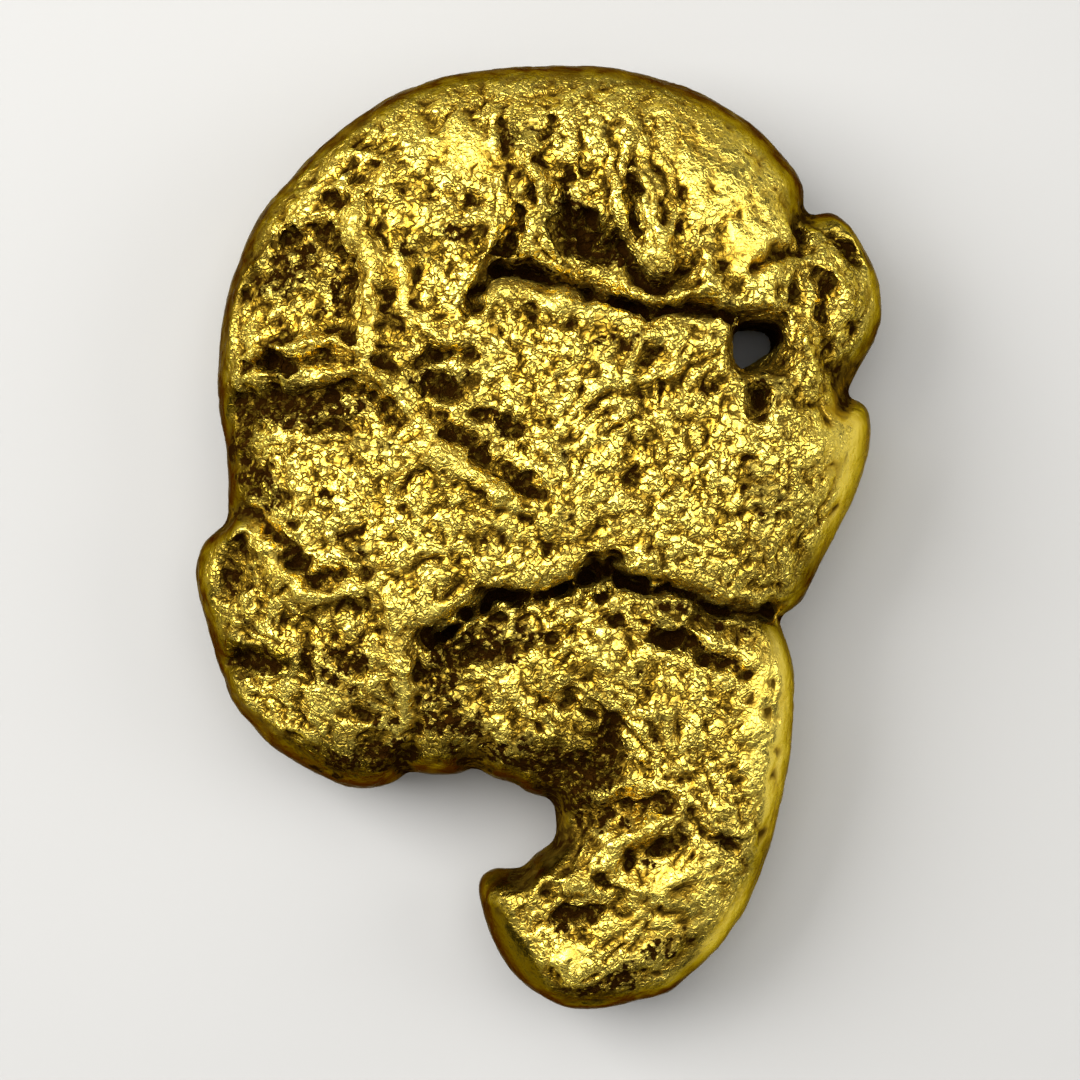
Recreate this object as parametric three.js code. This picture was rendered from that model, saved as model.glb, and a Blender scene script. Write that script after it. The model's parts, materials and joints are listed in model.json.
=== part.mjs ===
// Gold nugget: one water-worn piece of native gold, 30 mm long, lying on its flatter side.
//
// Millimetres, +Z up. The origin is at the middle of the bounding box, on the surface that the
// nugget lies on. +Y runs from the tail to the top of the head, +X towards the ear.
//
// The nugget is a flattened pebble with a fat rounded rim. A closed outline gives its plan, height
// functions give its upper face and its underside, and the solid between them is one level set,
// F(x, y, z) = 0. Surface nets turn that level set into one closed mesh: a vertex in each grid cell
// that the surface crosses, and a quad across each grid edge that it crosses.

import * as THREE from "three";

// ---------------------------------------------------------------- driving dimensions

const LENGTH = 30.0; // from the end of the tail to the top of the head
const HEAD_TOP = 7.6; // height of the head's crown above the surface it lies on
const HEAD_FALL = 0.011; // drop of the head per square millimetre away from its crown
const HEAD_CROWN = { x: 0.5, y: 5.0 };
const CHEEK_DROP = 0.5; // the cheek, the lobe at the lower left, lies this much under the head
const NECK_TOP = 6.1; // height of the neck just below the head
const NECK_START_Y = -2.0; // where the fall of the neck towards the tail starts
const NECK_FALL = 0.11; // drop per millimetre from there towards the tail
const EAR_DROP = 1.1; // the ear lies this much under the head
const RIM_RADIUS = 3.4; // width over which the face rounds off into the rim
const THIN_RIM_RADIUS = 2.3; // the same on the neck and the tail
const RIM_POWER = 2.1; // 2 is a round rim, more is a squarer one
const UNDERSIDE_LIFT = 1.3; // how far the underside's hollows stand off the surface
const UNDERSIDE_WEAR = 0.12; // share of that which is worn away, which leaves flats on z = 0
const UNDERSIDE_WAVES = [
  { turn: 0.35, length: 17, start: 0.4 },
  { turn: 1.25, length: 12, start: 2.2 },
  { turn: 2.3, length: 14.5, start: 5.1 },
];
const HOLE_LIP = 0.55; // rounding at both mouths of the through hole
const STEP_WIDTH = 1.5; // width of the wall between two layers
const CELL = 0.61; // edge of a grid cell
const RELAX_PASSES = 3; // rounds of evening out the mesh
const RELAX_SHARE = 0.5; // how far a vertex moves to the middle of its neighbours in each
const FLAT_SNAP = 1e-9; // keeps the worn flats exactly on z = 0
const FILLED = 0.02; // depth that a grid point gets when it is moved inside the surface
const CURVE_STEPS = 3; // steps between two points of a crease, a ridge or the hole
const OUTLINE_STEPS = 4; // the same on the outline

// ---------------------------------------------------------------- plan: outline, layers and hole

const HEAD_DOME = [
  [-2.0, 14.85], [0.0, 15.0], [2.0, 15.0], [4.0, 14.55], [6.0, 13.65], [7.6, 12.3], [8.35, 11.2],
  [8.4, 10.45],
];
const EAR_EDGE = [
  [8.9, 10.35], [9.4, 10.4], [10.3, 9.4], [10.85, 8.1], [10.9, 7.0], [10.45, 5.8], [9.95, 5.1],
  [9.7, 4.4],
];
const SHOULDER_EDGE = [
  [10.2, 4.7], [10.5, 3.7], [10.35, 2.4], [9.75, 0.9], [8.9, -0.7], [8.15, -2.1], [7.55, -2.45],
];
const BACK_OF_NECK = [
  [7.8, -3.2], [8.05, -5.0], [7.93, -7.0], [7.35, -9.8], [6.4, -12.05], [5.0, -13.65],
];
const TAIL_EDGE = [
  [4.0, -14.5], [2.5, -14.9], [1.0, -15.0], [0.0, -14.55], [-1.1, -13.5], [-1.75, -12.1],
  [-1.97, -10.95], [-1.8, -10.6], [-0.7, -10.5],
];
const BAY_EDGE = [
  [0.2, -9.85], [0.55, -9.2], [0.4, -8.25], [-0.5, -8.05], [-1.0, -7.75], [-2.1, -7.25],
  [-3.0, -7.5], [-4.3, -7.4],
];
const CHEEK_EDGE = [
  [-4.8, -7.85], [-6.0, -7.92], [-7.5, -7.35], [-8.9, -6.3], [-9.8, -5.2], [-10.4, -3.3],
  [-10.93, -1.3], [-10.8, -0.4], [-10.2, 0.35], [-9.9, 0.75],
];
const LEFT_EDGE = [
  [-9.9, 1.6], [-9.95, 3.3], [-10.25, 5.0], [-10.1, 7.0], [-9.5, 9.25], [-8.0, 11.4],
  [-6.0, 13.25], [-4.0, 14.35],
];
const PLAN = [
  ...HEAD_DOME, ...EAR_EDGE, ...SHOULDER_EDGE, ...BACK_OF_NECK, ...TAIL_EDGE, ...BAY_EDGE,
  ...CHEEK_EDGE, ...LEFT_EDGE,
];

// The head and the cheek lie over the neck. Their lower edge is this line, from the bay to the
// notch below the shoulder; the region is closed far outside the plan.
const HEAD_OVERLAP = [
  [-4.2, -7.4], [-3.9, -6.0], [-3.75, -4.5], [-3.5, -3.1], [-2.5, -2.4], [-1.2, -1.5],
  [0.5, -1.5], [2.3, -0.8], [3.5, -1.4], [5.5, -1.9], [7.55, -2.4],
];
const NECK_REGION = [...HEAD_OVERLAP, [14, -3], [14, -20], [-4.4, -20]];

// The ear is a lobe of its own, a little lower than the head.
const EAR_REGION = [
  [8.4, 10.45], [8.1, 9.6], [7.4, 8.8], [7.6, 7.6], [8.2, 6.4], [9.0, 5.2], [9.7, 4.4],
  [14, 5], [14, 11],
];

// The cheek is the lobe at the lower left, also a little lower than the head.
const CHEEK_REGION = [
  [-9.9, 0.75], [-8.8, 0.4], [-8.0, -0.8], [-6.5, -1.3], [-4.6, -1.6], [-3.6, -2.8],
  [-3.9, -6.0], [-4.2, -9], [-14, -9], [-14, 0],
];

const THROUGH_HOLE = [
  [6.0, 6.7], [7.35, 6.75], [7.5, 6.1], [7.1, 5.5], [6.6, 5.1], [6.0, 5.2],
];

// ---------------------------------------------------------------- relief of the upper face
// A groove or ridge follows a line; width is its half-width and depth is positive downwards.

const CREASES = [
  { name: "head over neck", depth: 1.2, width: 1.0, line: HEAD_OVERLAP.slice(3) },
  {
    name: "cleft to the hole", depth: 1.0, width: 0.9,
    line: [[-2.0, 7.2], [-1.0, 8.2], [0.6, 8.0], [1.6, 7.2], [3.5, 6.9], [5.5, 7.0], [6.6, 6.6]],
  },
  { name: "behind the ear", depth: 0.8, width: 0.8, line: [[8.4, 10.2], [7.9, 9.3], [6.7, 8.3]] },
  {
    name: "valley under the frame", depth: 0.8, width: 1.0,
    line: [[-10.2, 3.6], [-8.0, 4.3], [-6.0, 4.5], [-4.4, 3.5]],
  },
  { name: "above the cheek", depth: 0.7, width: 0.8, line: [[-10, 0.7], [-8, 0.2], [-6, -0.9]] },
  { name: "across the cheek", depth: 0.5, width: 0.8, line: [[-10.4, -3.8], [-7.8, -3.6]] },
  { name: "slit in the neck", depth: 0.4, width: 0.8, line: [[3.3, -2.7], [5.0, -3.5], [6.5, -4.4]] },
  {
    name: "hollow of the neck", depth: 0.9, width: 1.1,
    line: [[0.4, -5.0], [1.8, -5.8], [2.0, -7.2], [0.6, -7.8]],
  },
  { name: "root of the tail", depth: 0.5, width: 0.8, line: [[1.8, -8.2], [4.0, -8.4]] },
];
const RIDGES = [
  {
    name: "right of the frame", depth: -0.45, width: 0.9,
    line: [[-5.1, 12.0], [-5.2, 8.0], [-5.0, 5.5], [-3.6, 3.6]],
  },
  { name: "left of the frame", depth: -0.35, width: 0.8, line: [[-9.4, 6.2], [-8.9, 8.2], [-7.2, 10]] },
  { name: "foot of the frame", depth: -0.3, width: 0.8, line: [[-9.2, 5.6], [-6.4, 5.8]] },
  { name: "diagonal", depth: -0.5, width: 0.8, line: [[-3.6, 3.0], [-2.0, 2.2], [-0.3, 0.9]] },
  { name: "rim of the cheek", depth: -0.5, width: 0.8, line: [[-9.4, 0.2], [-8.2, -1], [-5, -1.6]] },
  { name: "tongue", depth: -0.5, width: 0.8, line: [[2.4, 10.6], [3.0, 9.2], [3.8, 8.1]] },
  { name: "crest of the tail", depth: -0.4, width: 0.9, line: [[0.5, -10.3], [3, -9.3], [5, -8.2]] },
];

// An oval hollow in the face: centre, radii along X and Y, depth. It is flat out to the first share
// of its radii and ends at the second.
const HOLLOW_FLOOR = 0.4;
const HOLLOW_EDGE = 1.25;
const HOLLOWS = [
  { name: "frame", x: -7.3, y: 7.6, rx: 2.0, ry: 1.7, depth: 0.7 },
  { name: "deep pit", x: 1.2, y: 9.2, rx: 1.3, ry: 1.3, depth: 0.9 },
  { name: "below the hole", x: 6.6, y: 4.6, rx: 1.0, ry: 1.4, depth: 1.2 },
  { name: "bowl", x: -2.9, y: 4.9, rx: 1.1, ry: 0.8, depth: 0.5 },
  { name: "cheek pocket", x: -9.4, y: -1.1, rx: 0.8, ry: 1.2, depth: 0.5 },
  { name: "low pocket", x: -5.7, y: -5.2, rx: 0.9, ry: 0.7, depth: 0.5 },
  { name: "under the head", x: -2.0, y: -3.6, rx: 1.2, ry: 0.8, depth: 0.6 },
  { name: "tail pocket", x: 1.2, y: -11.7, rx: 1.4, ry: 0.7, depth: 0.4 },
];

// ---------------------------------------------------------------- small maths

const smoothstep = (from, to, value) => THREE.MathUtils.smoothstep(value, from, to);
const mix = THREE.MathUtils.lerp;

/** Distance from a point to the line between a and b. */
function distanceToSegment(x, y, a, b) {
  const [dx, dy] = [b[0] - a[0], b[1] - a[1]];
  const along = ((x - a[0]) * dx + (y - a[1]) * dy) / (dx * dx + dy * dy);
  const t = THREE.MathUtils.clamp(along, 0, 1);
  return Math.hypot(x - a[0] - t * dx, y - a[1] - t * dy);
}

/** Distance from a point to an open line of points. */
function distanceToLine(x, y, line) {
  let nearest = Infinity;
  for (let i = 1; i < line.length; i++) {
    nearest = Math.min(nearest, distanceToSegment(x, y, line[i - 1], line[i]));
  }
  return nearest;
}

/** Depth inside a closed polygon: positive inside, negative outside. */
function depthInside(x, y, polygon) {
  let inside = false;
  let nearest = Infinity;
  for (let i = 0, j = polygon.length - 1; i < polygon.length; j = i++) {
    const [a, b] = [polygon[j], polygon[i]];
    nearest = Math.min(nearest, distanceToSegment(x, y, a, b));
    const crosses = a[1] > y !== b[1] > y;
    if (crosses && x < ((a[0] - b[0]) * (y - b[1])) / (a[1] - b[1]) + b[0]) {
      inside = !inside;
    }
  }
  return inside ? nearest : -nearest;
}

/** A closed smooth curve through the points, as a polygon with a few steps to each point. */
function smoothClosed(points, stepsEach) {
  const corners = points.map(([x, y]) => new THREE.Vector3(x, y, 0));
  const curve = new THREE.CatmullRomCurve3(corners, true, "centripetal");
  return curve.getPoints(points.length * stepsEach).slice(0, -1).map((p) => [p.x, p.y]);
}

/** An open smooth curve through the points, as a line with a few steps to each point. */
function smoothOpen(points, stepsEach) {
  const corners = points.map(([x, y]) => new THREE.Vector3(x, y, 0));
  const curve = new THREE.CatmullRomCurve3(corners, false, "centripetal");
  return curve.getPoints((points.length - 1) * stepsEach).map((p) => [p.x, p.y]);
}

// ---------------------------------------------------------------- the nugget's height functions

const plan = smoothClosed(PLAN, OUTLINE_STEPS);
const hole = smoothClosed(THROUGH_HOLE, CURVE_STEPS);
const reliefLines = [...CREASES, ...RIDGES].map((item) => ({
  ...item,
  line: item.line.length > 2 ? smoothOpen(item.line, CURVE_STEPS) : item.line,
}));

/** How much a point belongs to the layer over a region: 0 outside it, 1 inside, a step between. */
function layerShare(x, y, region) {
  return smoothstep(-STEP_WIDTH / 2, STEP_WIDTH / 2, depthInside(x, y, region));
}

/** Height lost to creases and hollows, less the height of the ridges. */
function reliefDepth(x, y) {
  let depth = 0;
  for (const item of reliefLines) {
    const away = distanceToLine(x, y, item.line) / item.width;
    depth += item.depth * Math.exp(-away * away);
  }
  for (const item of HOLLOWS) {
    const away = Math.hypot((x - item.x) / item.rx, (y - item.y) / item.ry);
    depth += item.depth * (1 - smoothstep(HOLLOW_FLOOR, HOLLOW_EDGE, away));
  }
  return depth;
}

/** Height of the upper face, before it rounds off into the rim. */
function upperFace(x, y) {
  const away = (x - HEAD_CROWN.x) ** 2 + (y - HEAD_CROWN.y) ** 2;
  const lobes = EAR_DROP * layerShare(x, y, EAR_REGION) + CHEEK_DROP * layerShare(x, y, CHEEK_REGION);
  const head = HEAD_TOP - HEAD_FALL * away - lobes;
  const neck = NECK_TOP + NECK_FALL * Math.min(0, y - NECK_START_Y);
  return mix(head, neck, layerShare(x, y, NECK_REGION)) - reliefDepth(x, y);
}

/** Height of the underside: broad hollows, and swells that the flat ground cuts into. */
function underside(x, y) {
  let height = 0;
  for (const { turn, length, start } of UNDERSIDE_WAVES) {
    const across = x * Math.cos(turn) + y * Math.sin(turn);
    height += Math.sin((2 * Math.PI * across) / length + start);
  }
  return UNDERSIDE_LIFT * (height / UNDERSIDE_WAVES.length - UNDERSIDE_WEAR);
}

/** Width of the rounded rim. */
function rimRadius(x, y) {
  return mix(RIM_RADIUS, THIN_RIM_RADIUS, layerShare(x, y, NECK_REGION));
}

/**
 * The level set on one column of the grid, as a function of z.
 * Across the rim it is a superellipse of the share of the rim that is used up and the height.
 */
function columnField(x, y) {
  const rim = Math.max(0, 1 - depthInside(x, y, plan) / rimRadius(x, y));
  const lip = Math.max(0, 1 + depthInside(x, y, hole) / HOLE_LIP);
  const top = upperFace(x, y);
  const foot = underside(x, y);
  const middle = (top + foot) / 2;
  const half = (top - foot) / 2;
  const sides = rim ** RIM_POWER + lip ** RIM_POWER;
  return (z) => {
    const level = Math.abs(z - middle) / half;
    const pebble = (Math.pow(sides + level ** RIM_POWER, 1 / RIM_POWER) - 1) * THIN_RIM_RADIUS;
    return Math.max(pebble, -z);
  };
}

// ---------------------------------------------------------------- surface nets

/** Samples the level set on a regular grid of points around the nugget. */
function sampleField() {
  const margin = 2 * CELL;
  const box = new THREE.Box2().setFromPoints(plan.map(([x, y]) => new THREE.Vector2(x, y)));
  const low = new THREE.Vector3(box.min.x - margin, box.min.y - margin, -margin);
  const high = new THREE.Vector3(box.max.x + margin, box.max.y + margin, HEAD_TOP + margin);
  const size = high.clone().sub(low).divideScalar(CELL).ceil().addScalar(1);
  const values = new Float64Array(size.x * size.y * size.z);
  let index = 0;
  for (let j = 0; j < size.y; j++) {
    for (let i = 0; i < size.x; i++) {
      const field = columnField(low.x + i * CELL, low.y + j * CELL);
      for (let k = 0; k < size.z; k++) {
        values[index++] = field(low.z + k * CELL);
      }
    }
  }
  const at = (i, j, k) => (j * size.x + i) * size.z + k;
  return { low, size, values, at };
}

// A cell's corners are numbered by one bit for each axis, and a set of them has one bit for each.
const CORNER_COUNT = 8;
const CORNER_BITS = [1, 2, 4];
const CORNERS = [...Array(CORNER_COUNT).keys()].map((c) => [c & 1, (c >> 1) & 1, (c >> 2) & 1]);
const CORNER_SETS = 2 ** CORNER_COUNT;

/** True if the corners in a set are joined to each other by edges. */
function isJoined(set) {
  const members = [...CORNERS.keys()].filter((c) => set & (1 << c));
  const reached = new Set(members.slice(0, 1));
  for (const c of reached) {
    for (const bit of CORNER_BITS) {
      if (set & (1 << (c ^ bit))) {
        reached.add(c ^ bit);
      }
    }
  }
  return reached.size === members.length;
}

// A cell is plain if the surface passes through it as one sheet.
const PLAIN_CELL = [...Array(CORNER_SETS).keys()].map((set) =>
  isJoined(set) && isJoined(CORNER_SETS - 1 - set));

/** Fills the weakest empty corner of each cell that isn't plain, until every cell is. */
function makePlain(grid) {
  const { size, values, at } = grid;
  let changed = true;
  while (changed) {
    changed = false;
    for (let j = 0; j < size.y - 1; j++) {
      for (let i = 0; i < size.x - 1; i++) {
        for (let k = 0; k < size.z - 1; k++) {
          const places = CORNERS.map(([di, dj, dk]) => at(i + di, j + dj, k + dk));
          const set = places.reduce((bits, place, c) => bits | (values[place] < 0 ? 1 << c : 0), 0);
          if (!PLAIN_CELL[set]) {
            const empty = places.filter((place) => values[place] >= 0);
            const weakest = empty.reduce((a, b) => (values[b] < values[a] ? b : a));
            values[weakest] = -FILLED;
            changed = true;
          }
        }
      }
    }
  }
}

/** The mean of the points where the surface crosses a cell's twelve edges. */
function cellVertex(grid, i, j, k) {
  const values = CORNERS.map(([di, dj, dk]) => grid.values[grid.at(i + di, j + dj, k + dk)]);
  const corners = CORNERS.map((offset) => new THREE.Vector3(...offset));
  const mean = new THREE.Vector3();
  let crossings = 0;
  for (let a = 0; a < CORNER_COUNT; a++) {
    for (const b of CORNER_BITS.filter((bit) => !(a & bit)).map((bit) => a | bit)) {
      if (values[a] < 0 !== values[b] < 0) {
        mean.add(corners[a].clone().lerp(corners[b], values[a] / (values[a] - values[b])));
        crossings++;
      }
    }
  }
  mean.divideScalar(crossings);
  mean.add(new THREE.Vector3(i, j, k)).multiplyScalar(CELL).add(grid.low);
  mean.z = Math.abs(mean.z) < FLAT_SNAP ? 0 : mean.z;
  return mean;
}

/** Closed mesh of the level set: two triangles across each grid edge that the surface crosses. */
function surfaceNets(grid) {
  const { size, values, at } = grid;
  const vertexOf = new Map();
  const positions = [];
  const vertex = (i, j, k) => {
    const key = at(i, j, k);
    if (!vertexOf.has(key)) {
      vertexOf.set(key, positions.length);
      positions.push(cellVertex(grid, i, j, k));
    }
    return vertexOf.get(key);
  };
  const triangles = [];
  const addQuad = (a, b, c, d) => {
    const across = positions[a].distanceTo(positions[c]) <= positions[b].distanceTo(positions[d]);
    triangles.push(...(across ? [a, b, c, a, c, d] : [b, c, d, b, d, a]));
  };
  const axes = [[1, 0, 0], [0, 1, 0], [0, 0, 1]];
  for (let j = 1; j < size.y - 1; j++) {
    for (let i = 1; i < size.x - 1; i++) {
      for (let k = 1; k < size.z - 1; k++) {
        const inside = values[at(i, j, k)] < 0;
        for (let n = 0; n < 3; n++) {
          const [along, u, v] = [axes[n], axes[(n + 1) % 3], axes[(n + 2) % 3]];
          if (inside !== values[at(i + along[0], j + along[1], k + along[2])] < 0) {
            const around = [[1, 1], [0, 1], [0, 0], [1, 0]].map(([du, dv]) =>
              vertex(
                i - du * u[0] - dv * v[0],
                j - du * u[1] - dv * v[1],
                k - du * u[2] - dv * v[2],
              ));
            addQuad(...(inside ? around : around.reverse()));
          }
        }
      }
    }
  }
  return { positions, triangles };
}

/** Evens out the mesh: each vertex moves towards the middle of its neighbours, flats stay flat. */
function relax({ positions, triangles }) {
  const neighbours = positions.map(() => new Set());
  for (let t = 0; t < triangles.length; t += 3) {
    for (let corner = 0; corner < 3; corner++) {
      const from = triangles[t + corner];
      const to = triangles[t + ((corner + 1) % 3)];
      neighbours[from].add(to);
      neighbours[to].add(from);
    }
  }
  for (let pass = 0; pass < RELAX_PASSES; pass++) {
    const middles = neighbours.map((around) => {
      const middle = new THREE.Vector3();
      around.forEach((index) => middle.add(positions[index]));
      return middle.divideScalar(around.size);
    });
    positions.forEach((position, index) => {
      if (position.z > 0) {
        position.lerp(middles[index], RELAX_SHARE);
      }
    });
  }
}

/** The nugget's closed surface as a three.js geometry. */
function nuggetGeometry() {
  const grid = sampleField();
  makePlain(grid);
  const mesh = surfaceNets(grid);
  relax(mesh);
  const coordinates = mesh.positions.flatMap((p) => p.toArray());
  const geometry = new THREE.BufferGeometry();
  geometry.setAttribute("position", new THREE.Float32BufferAttribute(coordinates, 3));
  geometry.setIndex(mesh.triangles);
  geometry.computeBoundingBox();
  const middle = geometry.boundingBox.getCenter(new THREE.Vector3());
  const size = geometry.boundingBox.getSize(new THREE.Vector3());
  geometry.translate(-middle.x, -middle.y, 0);
  geometry.scale(LENGTH / size.y, LENGTH / size.y, LENGTH / size.y);
  geometry.computeVertexNormals();
  return geometry;
}

// ---------------------------------------------------------------- the model

const nativeGold = new THREE.MeshStandardMaterial({ color: 0xd9a928, roughness: 0.32, metalness: 1.0 });

const nugget = new THREE.Mesh(nuggetGeometry(), nativeGold);
nugget.name = "nugget";

const model = new THREE.Group();
model.name = "gold_nugget";
model.add(nugget);

export default model;
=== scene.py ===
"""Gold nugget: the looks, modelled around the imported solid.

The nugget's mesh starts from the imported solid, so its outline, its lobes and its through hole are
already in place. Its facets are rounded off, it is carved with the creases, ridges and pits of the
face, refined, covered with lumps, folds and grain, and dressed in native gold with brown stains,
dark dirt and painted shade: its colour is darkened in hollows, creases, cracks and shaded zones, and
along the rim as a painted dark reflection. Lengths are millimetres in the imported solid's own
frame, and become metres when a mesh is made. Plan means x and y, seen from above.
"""

import functools
import itertools
import json
import logging
import math
from dataclasses import dataclass, field
from enum import Enum

import bpy
import numpy as np
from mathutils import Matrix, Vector

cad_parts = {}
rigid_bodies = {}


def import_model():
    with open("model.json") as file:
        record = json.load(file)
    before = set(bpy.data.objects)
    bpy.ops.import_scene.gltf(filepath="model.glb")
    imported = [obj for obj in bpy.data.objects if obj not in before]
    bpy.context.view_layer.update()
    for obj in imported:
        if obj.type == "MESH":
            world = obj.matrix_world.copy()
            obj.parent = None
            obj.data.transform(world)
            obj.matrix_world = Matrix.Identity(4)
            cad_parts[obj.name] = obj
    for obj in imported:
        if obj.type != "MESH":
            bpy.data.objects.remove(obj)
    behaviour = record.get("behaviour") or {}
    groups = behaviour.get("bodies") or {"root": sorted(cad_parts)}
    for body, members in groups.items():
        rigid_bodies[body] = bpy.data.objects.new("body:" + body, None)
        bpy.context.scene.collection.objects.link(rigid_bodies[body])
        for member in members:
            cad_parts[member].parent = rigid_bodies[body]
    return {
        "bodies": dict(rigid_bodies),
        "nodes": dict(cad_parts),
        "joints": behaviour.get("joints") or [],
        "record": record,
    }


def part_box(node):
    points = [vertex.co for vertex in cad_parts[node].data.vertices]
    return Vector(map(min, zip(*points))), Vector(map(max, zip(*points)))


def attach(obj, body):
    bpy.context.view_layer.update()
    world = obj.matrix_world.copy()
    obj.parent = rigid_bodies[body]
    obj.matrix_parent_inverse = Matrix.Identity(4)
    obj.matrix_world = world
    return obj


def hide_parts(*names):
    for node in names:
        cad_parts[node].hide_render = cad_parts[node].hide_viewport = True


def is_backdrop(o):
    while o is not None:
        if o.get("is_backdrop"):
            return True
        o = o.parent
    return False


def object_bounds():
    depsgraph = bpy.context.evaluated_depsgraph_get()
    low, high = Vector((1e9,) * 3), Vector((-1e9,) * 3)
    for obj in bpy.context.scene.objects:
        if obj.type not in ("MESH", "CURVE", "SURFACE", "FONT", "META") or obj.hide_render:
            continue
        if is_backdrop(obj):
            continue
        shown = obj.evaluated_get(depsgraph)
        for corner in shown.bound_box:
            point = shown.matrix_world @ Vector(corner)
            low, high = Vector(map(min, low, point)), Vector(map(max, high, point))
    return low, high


log = logging.getLogger("nugget")

METRE = 1000.0  # millimetres in a metre
TINY = 1e-9  # keeps a division away from 0

Pair = tuple[float, float]
Line = tuple[Pair, ...]
Colour = tuple[float, float, float]
Array = np.ndarray
Socket = bpy.types.NodeSocket


# ------------------------------------------------------------------ mesh arrays


def smoothstep(low: float, high: float, value: Array) -> Array:
    """Rises smoothly from 0 at low to 1 at high.

    Args:
        low: the value up to which the result is 0.
        high: the value from which the result is 1.
        value: the values to map.

    Returns:
        One share for each value.
    """
    share = np.clip((value - low) / (high - low), 0.0, 1.0)
    return share * share * (3.0 - 2.0 * share)


@dataclass
class Surface:
    """A triangle mesh held as arrays, in millimetres."""

    points: Array
    triangles: Array

    @classmethod
    def from_mesh(cls, mesh: bpy.types.Mesh) -> "Surface":
        """Reads a Blender mesh whose units are millimetres.

        Args:
            mesh: the mesh to read.

        Returns:
            The surface, with every polygon split into triangles.
        """
        mesh.calc_loop_triangles()
        points = np.empty(len(mesh.vertices) * 3)
        mesh.vertices.foreach_get("co", points)
        triangles = np.empty(len(mesh.loop_triangles) * 3, dtype=np.int32)
        mesh.loop_triangles.foreach_get("vertices", triangles)
        return cls(points.reshape(-1, 3), triangles.reshape(-1, 3))

    def to_mesh(self, name: str, unit: float = 1.0) -> bpy.types.Mesh:
        """Makes a smooth-shaded Blender mesh.

        Args:
            name: name of the new mesh.
            unit: millimetres in one unit of the new mesh.

        Returns:
            The new mesh.
        """
        mesh = bpy.data.meshes.new(name)
        mesh.from_pydata((self.points / unit).tolist(), [], self.triangles.tolist())
        mesh.polygons.foreach_set("use_smooth", np.ones(len(self.triangles), dtype=bool))
        mesh.update()
        return mesh

    def normals(self) -> Array:
        """Unit normals at the points, weighted by the area of the triangles around them.

        Returns:
            One row of x, y and z for each point.
        """
        a, b, c = (self.points[self.triangles[:, i]] for i in range(3))
        flat = np.cross(b - a, c - a)
        total = np.zeros_like(self.points)
        for corner, axis in itertools.product(range(3), range(3)):
            total[:, axis] += np.bincount(
                self.triangles[:, corner], weights=flat[:, axis], minlength=len(self.points)
            )
        return total / np.maximum(np.linalg.norm(total, axis=1, keepdims=True), TINY)

    def middles(self, values: Array) -> Array:
        """Mean of the values at each point's neighbours.

        Args:
            values: one row of numbers for each point.

        Returns:
            The means, in the same shape.
        """
        starts = self.triangles.ravel()
        ends = np.roll(self.triangles, -1, axis=1).ravel()
        count = np.bincount(starts, minlength=len(self.points)).astype(float)
        total = np.empty_like(values)
        for axis in range(values.shape[1]):
            total[:, axis] = np.bincount(starts, weights=values[ends, axis], minlength=len(self.points))
        return total / count[:, None]

    def smoothed(self, passes: int, share: float = 0.6) -> Array:
        """The points after evening out the surface.

        Args:
            passes: how many times each point moves towards the middle of its neighbours.
            share: how far it moves each time.

        Returns:
            The moved points.
        """
        points = self.points.copy()
        for _ in range(passes):
            points += share * (self.middles(points) - points)
        return points

    def modified(self, kind: str, **settings: str | float) -> "Surface":
        """The shape that one of Blender's modifiers makes of this one.

        Args:
            kind: the modifier's type.
            settings: what it is set to.

        Returns:
            The new surface.
        """
        holder = bpy.data.objects.new("holder", self.to_mesh("source"))
        bpy.context.scene.collection.objects.link(holder)
        modifier = holder.modifiers.new(kind, kind)
        for name, setting in settings.items():
            setattr(modifier, name, setting)
        graph = bpy.context.evaluated_depsgraph_get()
        meshes = [holder.data, bpy.data.meshes.new_from_object(holder.evaluated_get(graph))]
        surface = Surface.from_mesh(meshes[1])
        bpy.data.objects.remove(holder)
        for mesh in meshes:
            bpy.data.meshes.remove(mesh)
        return surface

    def remeshed(self, cell: float) -> "Surface":
        """The same shape with an even mesh, whose faces have edges as long as the cell."""
        return self.modified("REMESH", mode="VOXEL", voxel_size=cell, adaptivity=0.0)

    def thinned(self, limit: int) -> "Surface":
        """The same shape with no more triangles than the limit, most of them where it bends."""
        return self.modified("DECIMATE", ratio=min(1.0, limit / len(self.triangles)))


class GradientNoise:
    """Smooth seeded noise in space, about -1 to 1, with features one unit across."""

    TABLE_SIZE = 256
    GAIN = 1.6

    def __init__(self, seed: int) -> None:
        """Draws the noise's random gradients.

        Args:
            seed: picks one fixed noise.
        """
        draw = np.random.default_rng(seed)
        order = draw.permutation(self.TABLE_SIZE)
        self._order = np.concatenate([order, order])
        gradients = draw.normal(size=(self.TABLE_SIZE, 3))
        self._gradients = gradients / np.linalg.norm(gradients, axis=1, keepdims=True)

    def at(self, places: Array) -> Array:
        """The noise at each place.

        Args:
            places: one row of three coordinates for each place.

        Returns:
            One number for each place.
        """
        cell = np.floor(places).astype(np.int64)
        local = places - cell
        fade = local**3 * (local * (local * 6.0 - 15.0) + 10.0)
        total = np.zeros(len(places))
        for corner in itertools.product((0, 1), repeat=3):
            index = (cell + corner) % self.TABLE_SIZE
            key = self._order[self._order[self._order[index[:, 0]] + index[:, 1]] + index[:, 2]]
            lean = (self._gradients[key] * (local - corner)).sum(axis=1)
            total += lean * np.prod(np.where(corner, fade, 1.0 - fade), axis=1)
        return self.GAIN * total


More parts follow.
